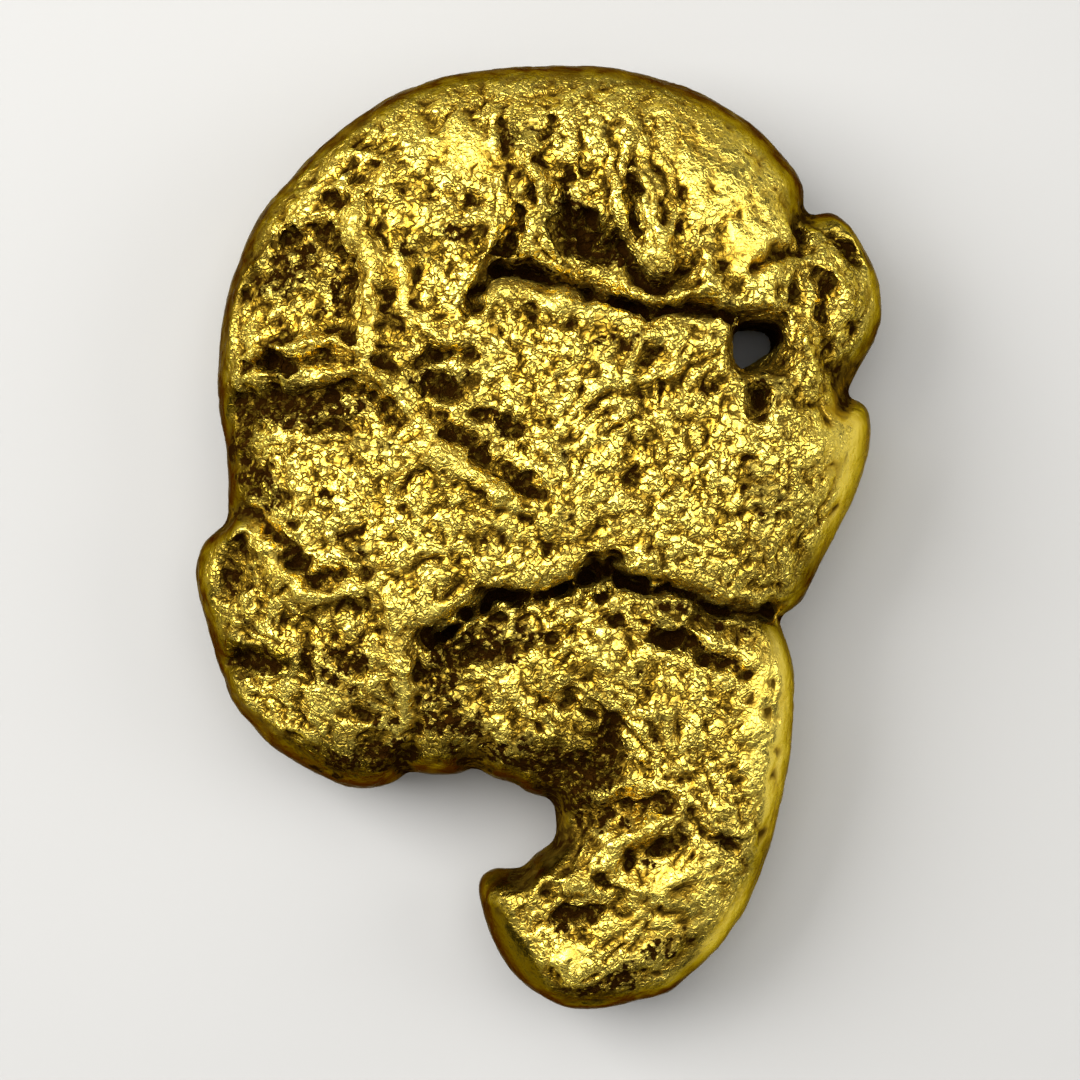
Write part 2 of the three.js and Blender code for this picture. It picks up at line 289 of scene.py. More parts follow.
@dataclass(frozen=True)
class Wander:
    """Small sideways drift that makes lines and edges ragged, as natural ones are."""

    reaches: tuple[float, ...] = (0.3, 0.16, 0.12)
    lengths: tuple[float, ...] = (1.6, 0.6, 0.3)
    seed: int = 11

    def drift_at(self, places: Array) -> Array:
        """The drift at each place.

        Args:
            places: x, y and z of each place.

        Returns:
            One row of x and y for each place.
        """
        drift = np.zeros((len(places), 2))
        for axis, (reach, length) in itertools.product(range(2), zip(self.reaches, self.lengths)):
            drift[:, axis] += reach * GradientNoise(self.seed + axis).at(places / length)
        return drift


# ------------------------------------------------------------------ plan


def smooth_line(line: Line, steps: int = 5, closed: bool = False) -> Array:
    """A Catmull-Rom curve through given points.

    Args:
        line: the points.
        steps: stretches between one point and the next.
        closed: whether the curve runs back to its first point.

    Returns:
        The points of the curve; a closed curve doesn't repeat its first point.
    """
    corners = np.array(line, dtype=float)
    if closed:
        padded = np.vstack([corners[-1], corners, corners[:2]])
    elif len(corners) < 3:
        return corners
    else:
        padded = np.vstack([2 * corners[0] - corners[1], corners, 2 * corners[-1] - corners[-2]])
    places = []
    for before, start, end, after in zip(padded, padded[1:], padded[2:], padded[3:]):
        for t in np.arange(steps) / steps:
            bend = 2 * before - 5 * start + 4 * end - after
            twist = 3 * start - before - 3 * end + after
            places.append(0.5 * (2 * start + (end - before) * t + bend * t**2 + twist * t**3))
    return np.array(places if closed else [*places, corners[-1]])


def turned(plan: Array, turn: float) -> tuple[Array, Array]:
    """Measures along and across a direction in plan.

    Args:
        plan: x and y of each place.
        turn: the direction, in degrees anticlockwise from the x axis.

    Returns:
        How far each place lies along the direction, and how far across it.
    """
    cosine, sine = math.cos(math.radians(turn)), math.sin(math.radians(turn))
    return plan[:, 0] * cosine + plan[:, 1] * sine, plan[:, 1] * cosine - plan[:, 0] * sine


def depth_inside(plan: Array, outline: Array) -> Array:
    """How deep inside a closed outline each place lies.

    Args:
        plan: x and y of each place.
        outline: the corners of the outline.

    Returns:
        The distances to the outline, negative outside it.
    """
    nearest = np.full(len(plan), np.inf)
    inside = np.zeros(len(plan), dtype=bool)
    for start, end in zip(outline, np.roll(outline, -1, axis=0)):
        stretch = end - start
        share = np.clip((plan - start) @ stretch / max(stretch @ stretch, TINY), 0.0, 1.0)
        away = plan - start - share[:, None] * stretch
        nearest = np.minimum(nearest, (away * away).sum(axis=1))
        if start[1] != end[1]:
            straddles = (plan[:, 1] < start[1]) != (plan[:, 1] < end[1])
            crossing = start[0] + (plan[:, 1] - start[1]) * stretch[0] / stretch[1]
            inside ^= straddles & (plan[:, 0] < crossing)
    return np.where(inside, 1.0, -1.0) * np.sqrt(nearest)


class DepthMap:
    """Depth inside a closed outline, looked up from a fine grid."""

    def __init__(self, outline: Array, cell: float = 0.08, margin: float = 1.5) -> None:
        """Fills the grid.

        Args:
            outline: the corners of the outline.
            cell: distance between grid places.
            margin: how far the grid reaches past the outline.
        """
        self._low = outline.min(axis=0) - margin
        self._cell = cell
        size = np.ceil((outline.max(axis=0) + margin - self._low) / cell).astype(int) + 2
        columns, rows = np.meshgrid(*(low + cell * np.arange(n) for low, n in zip(self._low, size)),
                                    indexing="ij")
        places = np.column_stack([columns.ravel(), rows.ravel()])
        self._depths = depth_inside(places, outline).reshape(size)

    def at(self, plan: Array) -> Array:
        """The depth at each place in plan.

        Args:
            plan: x and y of each place.

        Returns:
            The depths, negative outside the outline.
        """
        steps = (plan - self._low) / self._cell
        steps = np.clip(steps, 0.0, np.array(self._depths.shape) - (1.0 + TINY))
        index = steps.astype(int)
        u, v = (steps - index).T
        i, j = index.T
        near = self._depths[i, j] * (1 - u) + self._depths[i + 1, j] * u
        far = self._depths[i, j + 1] * (1 - u) + self._depths[i + 1, j + 1] * u
        return near * (1 - v) + far * v


# The outline, clockwise from the top of the head.
OUTLINE: Line = (
    (0.0, 15.0), (1.0, 15.0), (2.0, 14.98), (3.0, 14.8), (4.0, 14.55), (5.0, 14.2), (6.0, 13.65),
    (7.0, 12.95), (7.6, 12.3), (8.15, 11.6), (8.35, 11.1), (8.35, 10.7), (8.4, 10.4),
    (8.7, 10.35), (9.2, 10.45), (9.8, 10.1), (10.3, 9.4), (10.75, 8.5), (10.9, 7.6), (10.9, 7.0),
    (10.6, 6.15), (10.1, 5.35), (9.85, 4.8), (9.68, 4.38), (10.0, 4.55), (10.25, 4.68), (10.43, 4.3),
    (10.52, 3.5), (10.35, 2.4), (9.95, 1.3), (9.45, 0.3), (8.9, -0.7), (8.3, -1.9), (7.9, -2.25),
    (7.5, -2.45), (7.7, -3.0), (8.0, -4.0), (8.05, -5.5), (7.93, -7.0), (7.55, -9.0), (7.1, -10.5),
    (6.4, -12.05), (5.6, -13.1), (4.5, -14.15), (4.0, -14.5), (3.2, -14.7), (2.5, -14.9), (1.8, -15.0),
    (1.0, -15.0), (0.5, -14.85), (-0.6, -14.1), (-1.5, -12.8), (-1.9, -11.5), (-1.97, -10.95),
    (-1.75, -10.6), (-1.3, -10.5), (-0.6, -10.5), (-0.2, -10.1), (0.2, -9.85), (0.5, -9.55),
    (0.52, -8.9), (0.4, -8.25), (0.0, -8.18), (-0.5, -8.05), (-0.8, -7.78), (-1.5, -7.6),
    (-2.1, -7.25), (-2.6, -7.48), (-3.5, -7.5), (-4.25, -7.38), (-4.55, -7.7), (-5.3, -7.95),
    (-6.2, -7.9), (-7.0, -7.55), (-8.0, -7.0), (-8.9, -6.3), (-9.8, -5.2), (-10.25, -4.0),
    (-10.6, -2.7), (-10.93, -1.2), (-10.8, -0.4), (-10.5, 0.1), (-10.15, 0.38), (-9.9, 0.65),
    (-9.85, 1.4), (-9.9, 2.8), (-10.2, 4.3), (-10.2, 6.0), (-9.85, 8.15), (-9.0, 10.2), (-8.0, 11.4),
    (-7.0, 12.45), (-5.0, 13.9), (-4.0, 14.35), (-3.0, 14.67), (-1.5, 14.9),
)
THROUGH_HOLE: Line = (
    (6.15, 6.6), (7.3, 6.65), (7.4, 6.1), (7.0, 5.7), (6.5, 5.45), (6.1, 5.4),
)
# The regions of the three lower lobes. Each starts with its edge along the head or the cheek, and
# closes well outside the outline.
NECK_REGION: Line = (
    (-4.25, -7.4), (-3.9, -6.0), (-3.75, -4.5), (-3.5, -3.1), (-2.5, -2.4), (-1.2, -1.55),
    (0.5, -1.55), (2.3, -0.85), (3.5, -1.45), (5.5, -1.95), (7.6, -2.4), (14.0, -3.0), (14.0, -20.0),
    (-4.4, -20.0),
)
EAR_REGION: Line = (
    (8.4, 10.45), (8.1, 9.8), (7.8, 9.1), (7.5, 7.6), (8.2, 6.4), (9.0, 5.2), (9.7, 4.4), (14.0, 5.0),
    (14.0, 11.0),
)
CHEEK_REGION: Line = (
    (-9.9, 0.75), (-8.8, 0.5), (-8.0, -0.5), (-6.5, -1.2), (-5.0, -1.5), (-3.6, -2.8), (-3.9, -6.0),
    (-4.2, -9.0), (-14.0, -9.0), (-14.0, 0.5),
)


@dataclass(frozen=True)
class Layer:
    """A part of the plan that lies at a height of its own."""

    region: Line
    step: float = 0.7

    def share_at(self, plan: Array) -> Array:
        """How much each place in plan belongs to the layer, 0 to 1, with a wall between."""
        return smoothstep(-self.step / 2, self.step / 2, depth_inside(plan, np.array(self.region)))


@dataclass
class Pebble:
    """The nugget's smooth form: a flattened pebble with a fat rounded rim, in layers."""

    head_top: float = 7.5
    head_fall: float = 0.010
    head_crown: Pair = (0.5, 4.5)
    neck_top: float = 6.2
    neck_start: float = -2.0
    neck_fall: float = 0.12
    ear_drop: float = 0.9
    cheek_drop: float = 0.35
    rim_radius: float = 3.2
    thin_rim_radius: float = 2.2
    rim_power: float = 2.2
    hole_lip: float = 0.35
    underside_lift: float = 1.3
    underside_wear: float = 0.12
    underside_waves: tuple[tuple[float, float, float], ...] = (
        (0.35, 17.0, 0.4), (1.25, 12.0, 2.2), (2.3, 14.5, 5.1),
    )
    neck: Layer = Layer(NECK_REGION)
    ear: Layer = Layer(EAR_REGION)
    cheek: Layer = Layer(CHEEK_REGION)
    wander: Wander = Wander()
    probe: float = 0.02
    least_slope: float = 0.05
    longest_move: float = 0.5

    def __post_init__(self) -> None:
        """Maps the outline and the hole."""
        self._outline = DepthMap(smooth_line(OUTLINE, 3, closed=True))
        self._hole = DepthMap(smooth_line(THROUGH_HOLE, 4, closed=True), cell=0.04)

    def _face(self, plan: Array, neck: Array) -> Array:
        """Height of the upper face before it rounds off into the rim.

        Args:
            plan: x and y of each place.
            neck: how much each place belongs to the neck.

        Returns:
            The heights over the resting plane.
        """
        away = ((plan - self.head_crown) ** 2).sum(axis=1)
        head = self.head_top - self.head_fall * away
        head -= self.ear_drop * self.ear.share_at(plan) + self.cheek_drop * self.cheek.share_at(plan)
        low = self.neck_top + self.neck_fall * np.minimum(0.0, plan[:, 1] - self.neck_start)
        return head + (low - head) * neck

    def _underside(self, plan: Array) -> Array:
        """Height of the underside: broad hollows, and swells that are worn flat.

        Args:
            plan: x and y of each place.

        Returns:
            The heights over the resting plane, below 0 where a swell is worn flat.
        """
        height = np.zeros(len(plan))
        for turn, length, start in self.underside_waves:
            across = plan[:, 0] * math.cos(turn) + plan[:, 1] * math.sin(turn)
            height += np.sin(2 * math.pi * across / length + start)
        return self.underside_lift * (height / len(self.underside_waves) - self.underside_wear)

    def settled(self, points: Array, rounds: int = 4) -> Array:
        """Points moved onto the form.

        Args:
            points: places near the form, one row of x, y and z each.
            rounds: how many times each point is moved.

        Returns:
            The moved points.
        """
        for _ in range(rounds):
            drift = self.wander.drift_at(points)
            value = self._level(points, drift)
            slope = np.column_stack([
                (self._level(points + self.probe * axis, drift) - value) / self.probe for axis in np.eye(3)
            ])
            steepness = np.maximum((slope * slope).sum(axis=1), self.least_slope)
            move = -(value / steepness)[:, None] * slope
            length = np.linalg.norm(move, axis=1, keepdims=True)
            points = points + move * np.minimum(1.0, self.longest_move / np.maximum(length, TINY))
        return points

    def depth_at(self, plan: Array) -> Array:
        """How deep inside the outline each place lies."""
        return self._outline.at(plan)

    def _level(self, points: Array, drift: Array) -> Array:
        """Where each point lies against the form.

        Args:
            points: one row of x, y and z for each point.
            drift: one row of x and y for each point, which bends the layers' edges.

        Returns:
            The levels, negative inside the form, 0 on it and positive outside.
        """
        plan = points[:, :2]
        neck = self.neck.share_at(plan + drift)
        radius = self.rim_radius + (self.thin_rim_radius - self.rim_radius) * neck
        rim = np.maximum(0.0, 1.0 - self._outline.at(plan) / radius)
        lip = np.maximum(0.0, 1.0 + self._hole.at(plan) / self.hole_lip)
        top, foot = self._face(plan + drift, neck), self._underside(plan)
        level = np.abs(points[:, 2] - (top + foot) / 2) * 2 / (top - foot)
        sides = rim**self.rim_power + lip**self.rim_power
        pebble = ((sides + level**self.rim_power) ** (1 / self.rim_power) - 1.0) * self.thin_rim_radius
        return np.maximum(pebble, -points[:, 2])


# ------------------------------------------------------------------ listed relief


class Profile(Enum):
    """Shape of a groove or ridge across its line; the value is the power of its fall-off."""

    ROUND = 2.0
    STEEP = 4.0


@dataclass(frozen=True)
class Crease:
    """A groove along a line, or a ridge where its depth is negative."""

    line: Line
    width: float
    depth: float
    profile: Profile = Profile.ROUND
    taper: float = 0.8
    end_share: float = 0.35
    reach: float = 2.6

    def depth_at(self, plan: Array) -> Array:
        """Depth of the groove at each place in plan.

        Args:
            plan: x and y of each place.

        Returns:
            The depths, positive downwards.
        """
        curve = smooth_line(self.line)
        reach = self.reach * self.width
        near = np.all((plan > curve.min(axis=0) - reach) & (plan < curve.max(axis=0) + reach), axis=1)
        places = plan[near]
        stretches = np.diff(curve, axis=0)
        lengths = np.linalg.norm(stretches, axis=1)
        starts = np.concatenate([[0.0], np.cumsum(lengths)])
        nearest = np.full(len(places), np.inf)
        along = np.zeros(len(places))
        for start, stretch, length, passed in zip(curve, stretches, lengths, starts):
            share = np.clip((places - start) @ stretch / length**2, 0.0, 1.0)
            away = np.linalg.norm(places - start - share[:, None] * stretch, axis=1)
            closer = away < nearest
            nearest[closer] = away[closer]
            along[closer] = passed + share[closer] * length
        end = np.minimum(along, starts[-1] - along)
        strength = np.clip(self.end_share + (1.0 - self.end_share) * end / self.taper, 0.0, 1.0)
        depths = np.zeros(len(plan))
        depths[near] = self.depth * strength * np.exp(-((nearest / self.width) ** self.profile.value))
        return depths


@dataclass(frozen=True)
class Pit:
    """An oval hollow, or a bead where its depth is negative."""

    centre: Pair
    radii: Pair
    depth: float
    turn: float = 0.0
    floor: float = 0.1
    edge: float = 1.2

    def depth_at(self, plan: Array) -> Array:
        """Depth of the hollow at each place in plan.

        Args:
            plan: x and y of each place.

        Returns:
            The depths, positive downwards.
        """
        along, across = turned(plan - self.centre, self.turn)
        away = np.hypot(along / self.radii[0], across / self.radii[1])
        return self.depth * (1.0 - smoothstep(self.floor, self.edge, away))


# The relief of each lobe. A negative depth makes a ridge or a bead.
HEAD: tuple[Crease | Pit, ...] = (
    # the cleft and what runs into it
    Crease(((-2.2, 6.9), (-1.7, 7.5), (-1.0, 8.3), (0.3, 8.0), (1.4, 7.6), (2.7, 7.1), (4.2, 6.9),
            (5.5, 6.9), (6.4, 6.8), (7.3, 6.9)), 0.27, 1.4, Profile.STEEP),
    Crease(((-0.9, 8.2), (-0.2, 8.45), (0.6, 8.2), (1.4, 7.9)), 0.4, 0.7),
    Crease(((-0.6, 10.2), (-0.9, 9.2), (-1.2, 8.3)), 0.28, 0.6),
    Crease(((2.5, 9.1), (2.9, 8.3), (3.7, 7.8), (4.5, 8.0), (4.9, 8.6)), 0.22, 0.7),
    Crease(((0.95, 11.3), (0.85, 10.5), (0.9, 9.6)), 0.26, 0.6),
    Crease(((2.9, 11.1), (2.95, 10.2), (3.2, 9.2)), 0.15, 0.45),
    Crease(((1.2, 12.3), (1.35, 11.8), (1.5, 11.3)), 0.2, 0.45),
    Crease(((0.0, 12.2), (0.25, 12.8), (0.65, 12.4)), 0.13, 0.4),
    # ridges around the cleft
    Crease(((3.1, 11.2), (3.6, 9.9), (4.0, 8.5)), 0.38, -0.5),
    Crease(((2.5, 11.3), (2.5, 10.5), (2.6, 9.7)), 0.2, -0.35),
    Crease(((2.2, 8.7), (2.6, 7.8), (3.4, 7.35), (4.4, 7.35), (5.2, 7.8), (5.25, 8.5)), 0.24, -0.45),
    Crease(((-0.7, 12.3), (-0.2, 11.3), (0.2, 10.3)), 0.28, -0.4),
    Crease(((-2.2, 7.6), (-1.7, 8.4), (-1.5, 9.4), (-1.9, 9.9)), 0.25, -0.35),
    Crease(((-1.6, 6.9), (-0.8, 7.6), (0.4, 7.3), (1.3, 6.9)), 0.35, -0.35),
    # the framed field at the left
    Crease(((-9.75, 5.6), (-9.5, 7.5), (-8.9, 8.7), (-8.1, 9.5), (-7.0, 10.0)), 0.26, -0.5),
    Crease(((-6.2, 10.6), (-5.7, 9.7), (-5.2, 8.6), (-5.2, 7.2), (-5.15, 5.8), (-4.8, 4.9),
            (-4.3, 4.2)), 0.42, -0.5),
    Crease(((-8.9, 9.3), (-7.9, 10.1), (-6.9, 10.95), (-6.0, 11.0), (-5.6, 10.3)), 0.24, -0.35),
    Crease(((-6.9, 11.6), (-5.8, 11.9), (-4.8, 11.6), (-4.9, 10.6)), 0.3, -0.35),
    Crease(((-9.4, 5.85), (-8.0, 5.85), (-6.5, 5.95), (-5.4, 5.8)), 0.22, -0.45),
    Crease(((-9.3, 4.95), (-7.0, 5.0), (-5.4, 5.0)), 0.22, -0.4),
    Crease(((-4.5, 9.0), (-4.2, 8.0), (-4.0, 7.0), (-3.1, 6.3), (-2.6, 6.2)), 0.24, -0.3),
    Crease(((-9.1, 5.4), (-7.5, 5.35), (-6.2, 5.5)), 0.17, 0.7),
    Crease(((-7.15, 10.5), (-6.7, 10.8), (-6.2, 10.5)), 0.17, 0.45),
    Crease(((-6.9, 9.85), (-6.5, 9.4), (-6.0, 8.9)), 0.2, 0.5),
    Crease(((-5.75, 8.6), (-5.7, 7.4), (-5.8, 6.4)), 0.16, 0.25),
    Crease(((-9.9, 3.9), (-8.0, 4.35), (-6.0, 4.45), (-5.0, 4.0), (-4.2, 3.3)), 0.38, 0.6),
    Crease(((-10.0, 3.3), (-9.3, 3.5), (-8.4, 3.4)), 0.35, 0.5),
    Crease(((-9.8, 2.7), (-9.0, 2.4), (-8.3, 2.0)), 0.2, 0.35),
    Crease(((-7.1, 3.5), (-6.2, 3.65), (-5.4, 3.4)), 0.26, 0.4),
    # the diagonal ridge under it
    Crease(((-4.2, 3.3), (-3.2, 2.9), (-2.0, 2.1), (-1.0, 1.4), (-0.3, 0.8)), 0.75, -0.45),
    Crease(((-3.5, 4.0), (-2.5, 3.4), (-1.5, 2.8), (-0.5, 1.8), (0.3, 1.0)), 0.3, 0.45),
    Crease(((-3.8, 5.4), (-3.0, 5.75), (-2.0, 5.6)), 0.24, 0.7),
    # the coil and short creases at the right
    Crease(((3.0, 4.9), (2.7, 5.5), (3.1, 6.1), (3.8, 6.2), (4.3, 5.6), (4.0, 5.0), (3.4, 5.1)),
           0.2, -0.25),
    Crease(((4.7, 4.75), (5.7, 4.75)), 0.15, 0.4), Crease(((6.0, 2.1), (6.2, 2.6), (6.6, 2.8)), 0.15, 0.3),
    Crease(((8.1, 0.1), (8.8, 0.7), (9.7, 1.1)), 0.18, 0.4),
    # hollows and pits
    Pit((6.3, 6.95), (0.36, 0.3), 0.9), Pit((-7.4, 7.8), (1.9, 2.0), 0.4, floor=0.75),
    Pit((1.6, 9.1), (1.5, 0.85), 1.0, -32.0), Pit((-1.1, 12.5), (0.4, 0.7), 0.4, floor=0.0),
    Pit((-2.0, 10.2), (0.7, 0.45), 0.3, 30.0, floor=0.0),
    Pit((-3.9, 9.3), (0.8, 0.45), 0.22, -20.0, floor=0.0),
    Pit((-4.5, 5.3), (0.4, 0.3), 0.21, floor=0.0), Pit((-2.85, 4.8), (1.0, 0.5), 0.4),
    Pit((-1.8, 3.8), (0.7, 0.35), 0.35, -30.0, floor=0.0),
    Pit((-0.8, 3.4), (0.7, 0.3), 0.35, -30.0, floor=0.0), Pit((6.2, 1.6), (0.3, 0.3), 0.21),
    Pit((-7.9, 1.3), (0.25, 0.2), 0.24), Pit((-6.4, 1.3), (0.3, 0.2), 0.24),
    Pit((-7.5, 0.6), (0.3, 0.2), 0.21), Pit((-0.4, 0.75), (0.3, 0.12), 0.21),
    Pit((6.6, 4.4), (0.34, 0.9), 1.0),
)
EAR: tuple[Crease | Pit, ...] = (
    Crease(((8.4, 10.4), (8.1, 9.9), (7.9, 9.3), (7.4, 8.9), (7.0, 8.6), (6.7, 8.3)), 0.2, 0.7),
    Crease(((9.1, 10.2), (9.8, 9.8), (10.3, 9.0), (10.5, 8.2)), 0.22, -0.45),
    Crease(((9.0, 9.5), (9.6, 9.3), (10.1, 8.8)), 0.26, 0.7),
    Crease(((9.0, 8.7), (9.3, 7.8), (9.7, 6.9)), 0.24, -0.45),
    Crease(((8.2, 9.2), (8.5, 8.9), (8.6, 8.3)), 0.25, -0.3),
    Crease(((8.4, 8.4), (8.7, 7.4), (8.8, 6.2)), 0.2, 0.35),
    Pit((8.9, 8.0), (0.25, 0.3), 0.24), Pit((9.8, 6.5), (0.3, 0.3), 0.24),
    Pit((9.1, 4.8), (0.3, 0.25), 0.21),
)
CHEEK: tuple[Crease | Pit, ...] = (
    Crease(((-9.9, 0.8), (-9.2, 0.75), (-8.4, 0.45), (-7.8, -0.1), (-7.2, -0.8), (-6.4, -1.1),
            (-5.4, -1.1)), 0.24, 0.5),
    Crease(((-10.3, -0.3), (-9.9, 0.1), (-9.2, 0.25), (-8.6, -0.3), (-7.9, -1.0), (-7.0, -1.5),
            (-6.0, -1.6), (-5.2, -1.5)), 0.36, -0.55),
    Crease(((-4.9, -1.6), (-4.5, -2.2), (-4.4, -3.2), (-4.3, -4.2)), 0.5, -0.5),
    Crease(((-4.05, -4.0), (-4.0, -5.0), (-4.1, -5.9)), 0.2, -0.25),
    Crease(((-10.5, -0.6), (-10.45, -1.6), (-10.2, -2.5)), 0.2, -0.3),
    Crease(((-9.4, -0.6), (-9.0, -1.4), (-9.2, -2.2), (-8.6, -2.4)), 0.14, -0.22),
    Crease(((-10.1, -3.7), (-9.2, -3.8), (-8.0, -3.85)), 0.3, 0.7),
    Crease(((-9.9, -4.1), (-9.2, -4.8), (-8.4, -5.6), (-7.2, -6.2)), 0.3, -0.4),
    Crease(((-7.2, -3.0), (-7.2, -4.4)), 0.2, 0.3), Crease(((-4.5, -3.0), (-4.5, -3.5)), 0.12, 0.35),
    Crease(((-4.6, -5.9), (-4.5, -6.6), (-5.0, -7.2)), 0.3, -0.35),
    Pit((-9.5, -1.2), (0.75, 1.1), 0.4), Pit((-5.75, -2.1), (0.6, 0.28), 0.27),
    Pit((-5.75, -5.3), (0.9, 0.45), 0.3, floor=0.0), Pit((-5.4, -6.5), (0.4, 0.6), 0.3, floor=0.0),
    Pit((-7.6, -2.7), (1.0, 0.5), 0.3, -20.0, floor=0.0),
)
NICK_WIDTH = 0.19
NICK_DEPTH = 0.32
NICKS: tuple[Line, ...] = (
    ((5.3, -5.05), (5.7, -5.2), (6.0, -5.45)),
    ((6.8, -5.45), (7.1, -5.5), (7.4, -5.4)),
    ((6.0, -6.35), (6.2, -6.5), (6.45, -6.45)),
    ((7.1, -6.4), (7.35, -6.55), (7.6, -6.75)),
    ((5.7, -7.05), (5.9, -7.2), (6.1, -7.5)),
    ((7.3, -7.2), (7.4, -7.4), (7.45, -7.7)),
    ((6.8, -8.8), (6.9, -9.1), (6.8, -9.4)),
    ((6.9, -4.3), (7.2, -4.4), (7.4, -4.6)),
    ((6.1, -4.75), (6.4, -4.9), (6.6, -5.1)),
)
NECK: tuple[Crease | Pit, ...] = (
    Crease(((-3.6, -3.1), (-3.0, -3.0), (-2.5, -2.5), (-1.8, -1.9), (-1.2, -1.55), (-0.5, -1.6),
            (0.3, -1.6), (1.0, -1.3), (1.7, -1.0), (2.2, -0.9), (2.8, -1.35), (3.5, -1.5),
            (4.5, -1.7), (5.5, -2.0), (6.5, -2.2), (7.6, -2.4)), 0.26, 1.6, Profile.STEEP),
    Crease(((-3.2, -3.6), (-2.0, -2.6), (-0.8, -2.1), (0.6, -2.0), (2.0, -1.6), (3.2, -2.0),
            (4.8, -2.3), (6.2, -2.7), (7.4, -2.9)), 0.75, 0.34),
    Crease(((-3.75, -3.2), (-3.85, -4.4), (-3.9, -6.0), (-4.15, -7.2)), 0.25, 0.5),
    Crease(((3.3, -2.6), (4.2, -3.1), (5.0, -3.5), (5.9, -3.9), (6.5, -4.4)), 0.22, 0.6),
    Crease(((3.5, -2.35), (4.4, -2.8), (5.3, -3.15), (6.2, -3.6)), 0.25, -0.2),
    Crease(((-1.0, -3.3), (0.3, -3.1), (1.5, -2.95)), 0.18, 0.4),
    Crease(((0.2, -4.9), (1.2, -5.3), (2.0, -5.8), (2.5, -6.5), (2.7, -7.0)), 0.4, 0.45),
    Crease(((1.7, -8.2), (2.1, -7.8), (2.5, -7.6)), 0.2, -0.3),
    Crease(((1.8, -8.35), (2.8, -8.2), (4.0, -8.2)), 0.3, 0.5),
    *(Crease(nick, NICK_WIDTH, NICK_DEPTH) for nick in NICKS),
    Pit((2.2, -2.5), (0.35, 0.25), 0.3), Pit((-2.0, -3.6), (0.8, 0.4), 0.45),
    Pit((0.0, -5.7), (0.5, 0.5), -0.3), Pit((1.2, -7.0), (1.3, 0.9), 0.35),
    Pit((2.75, -0.85), (0.2, 0.18), -0.5), Pit((3.2, -0.6), (0.2, 0.18), -0.35),
    Pit((2.1, -1.15), (0.16, 0.14), -0.5),
)
TAIL: tuple[Crease | Pit, ...] = (
    Crease(((0.4, -10.4), (1.5, -10.0), (3.0, -9.2), (4.2, -8.5)), 0.45, -0.6),
    Crease(((0.9, -9.3), (1.9, -8.9), (3.0, -8.3)), 0.35, 0.5),
    Crease(((5.0, -9.1), (5.8, -9.4), (6.3, -10.0), (6.5, -10.4)), 0.18, 0.45),
    Crease(((3.0, -9.6), (3.8, -9.5), (4.6, -9.5)), 0.25, 0.4),
    Crease(((2.8, -9.8), (2.8, -10.8)), 0.14, 0.4),
    Crease(((-1.8, -11.4), (-1.0, -11.2), (-0.2, -10.9), (0.4, -10.6), (1.2, -10.8), (1.9, -11.2)),
           0.34, -0.5),
    Crease(((2.2, -10.4), (2.8, -10.9), (3.6, -10.9), (4.4, -10.3)), 0.4, -0.35),
    Crease(((0.2, -13.0), (0.9, -13.2), (1.3, -13.8)), 0.4, -0.3),
    Crease(((2.6, -13.0), (4.0, -12.2), (5.2, -11.4)), 0.4, 0.18),
    Crease(((3.2, -13.8), (4.4, -13.0), (5.4, -12.2)), 0.3, 0.14),
    Pit((1.1, -11.7), (1.2, 0.4), 0.3), Pit((3.8, -11.6), (0.6, 0.3), 0.25),
    Pit((1.4, -14.5), (0.9, 0.25), 0.3),
)


@dataclass(frozen=True)
class Zone:
    """An oval place in plan with a soft edge."""

    centre: Pair
    radii: Pair
    strength: float
    turn: float = 0.0
    core: float = 0.3

    def share_at(self, plan: Array) -> Array:
        """How much each place in plan belongs to the zone, 0 to the zone's strength."""
        return Pit(self.centre, self.radii, self.strength, self.turn, self.core).depth_at(plan)


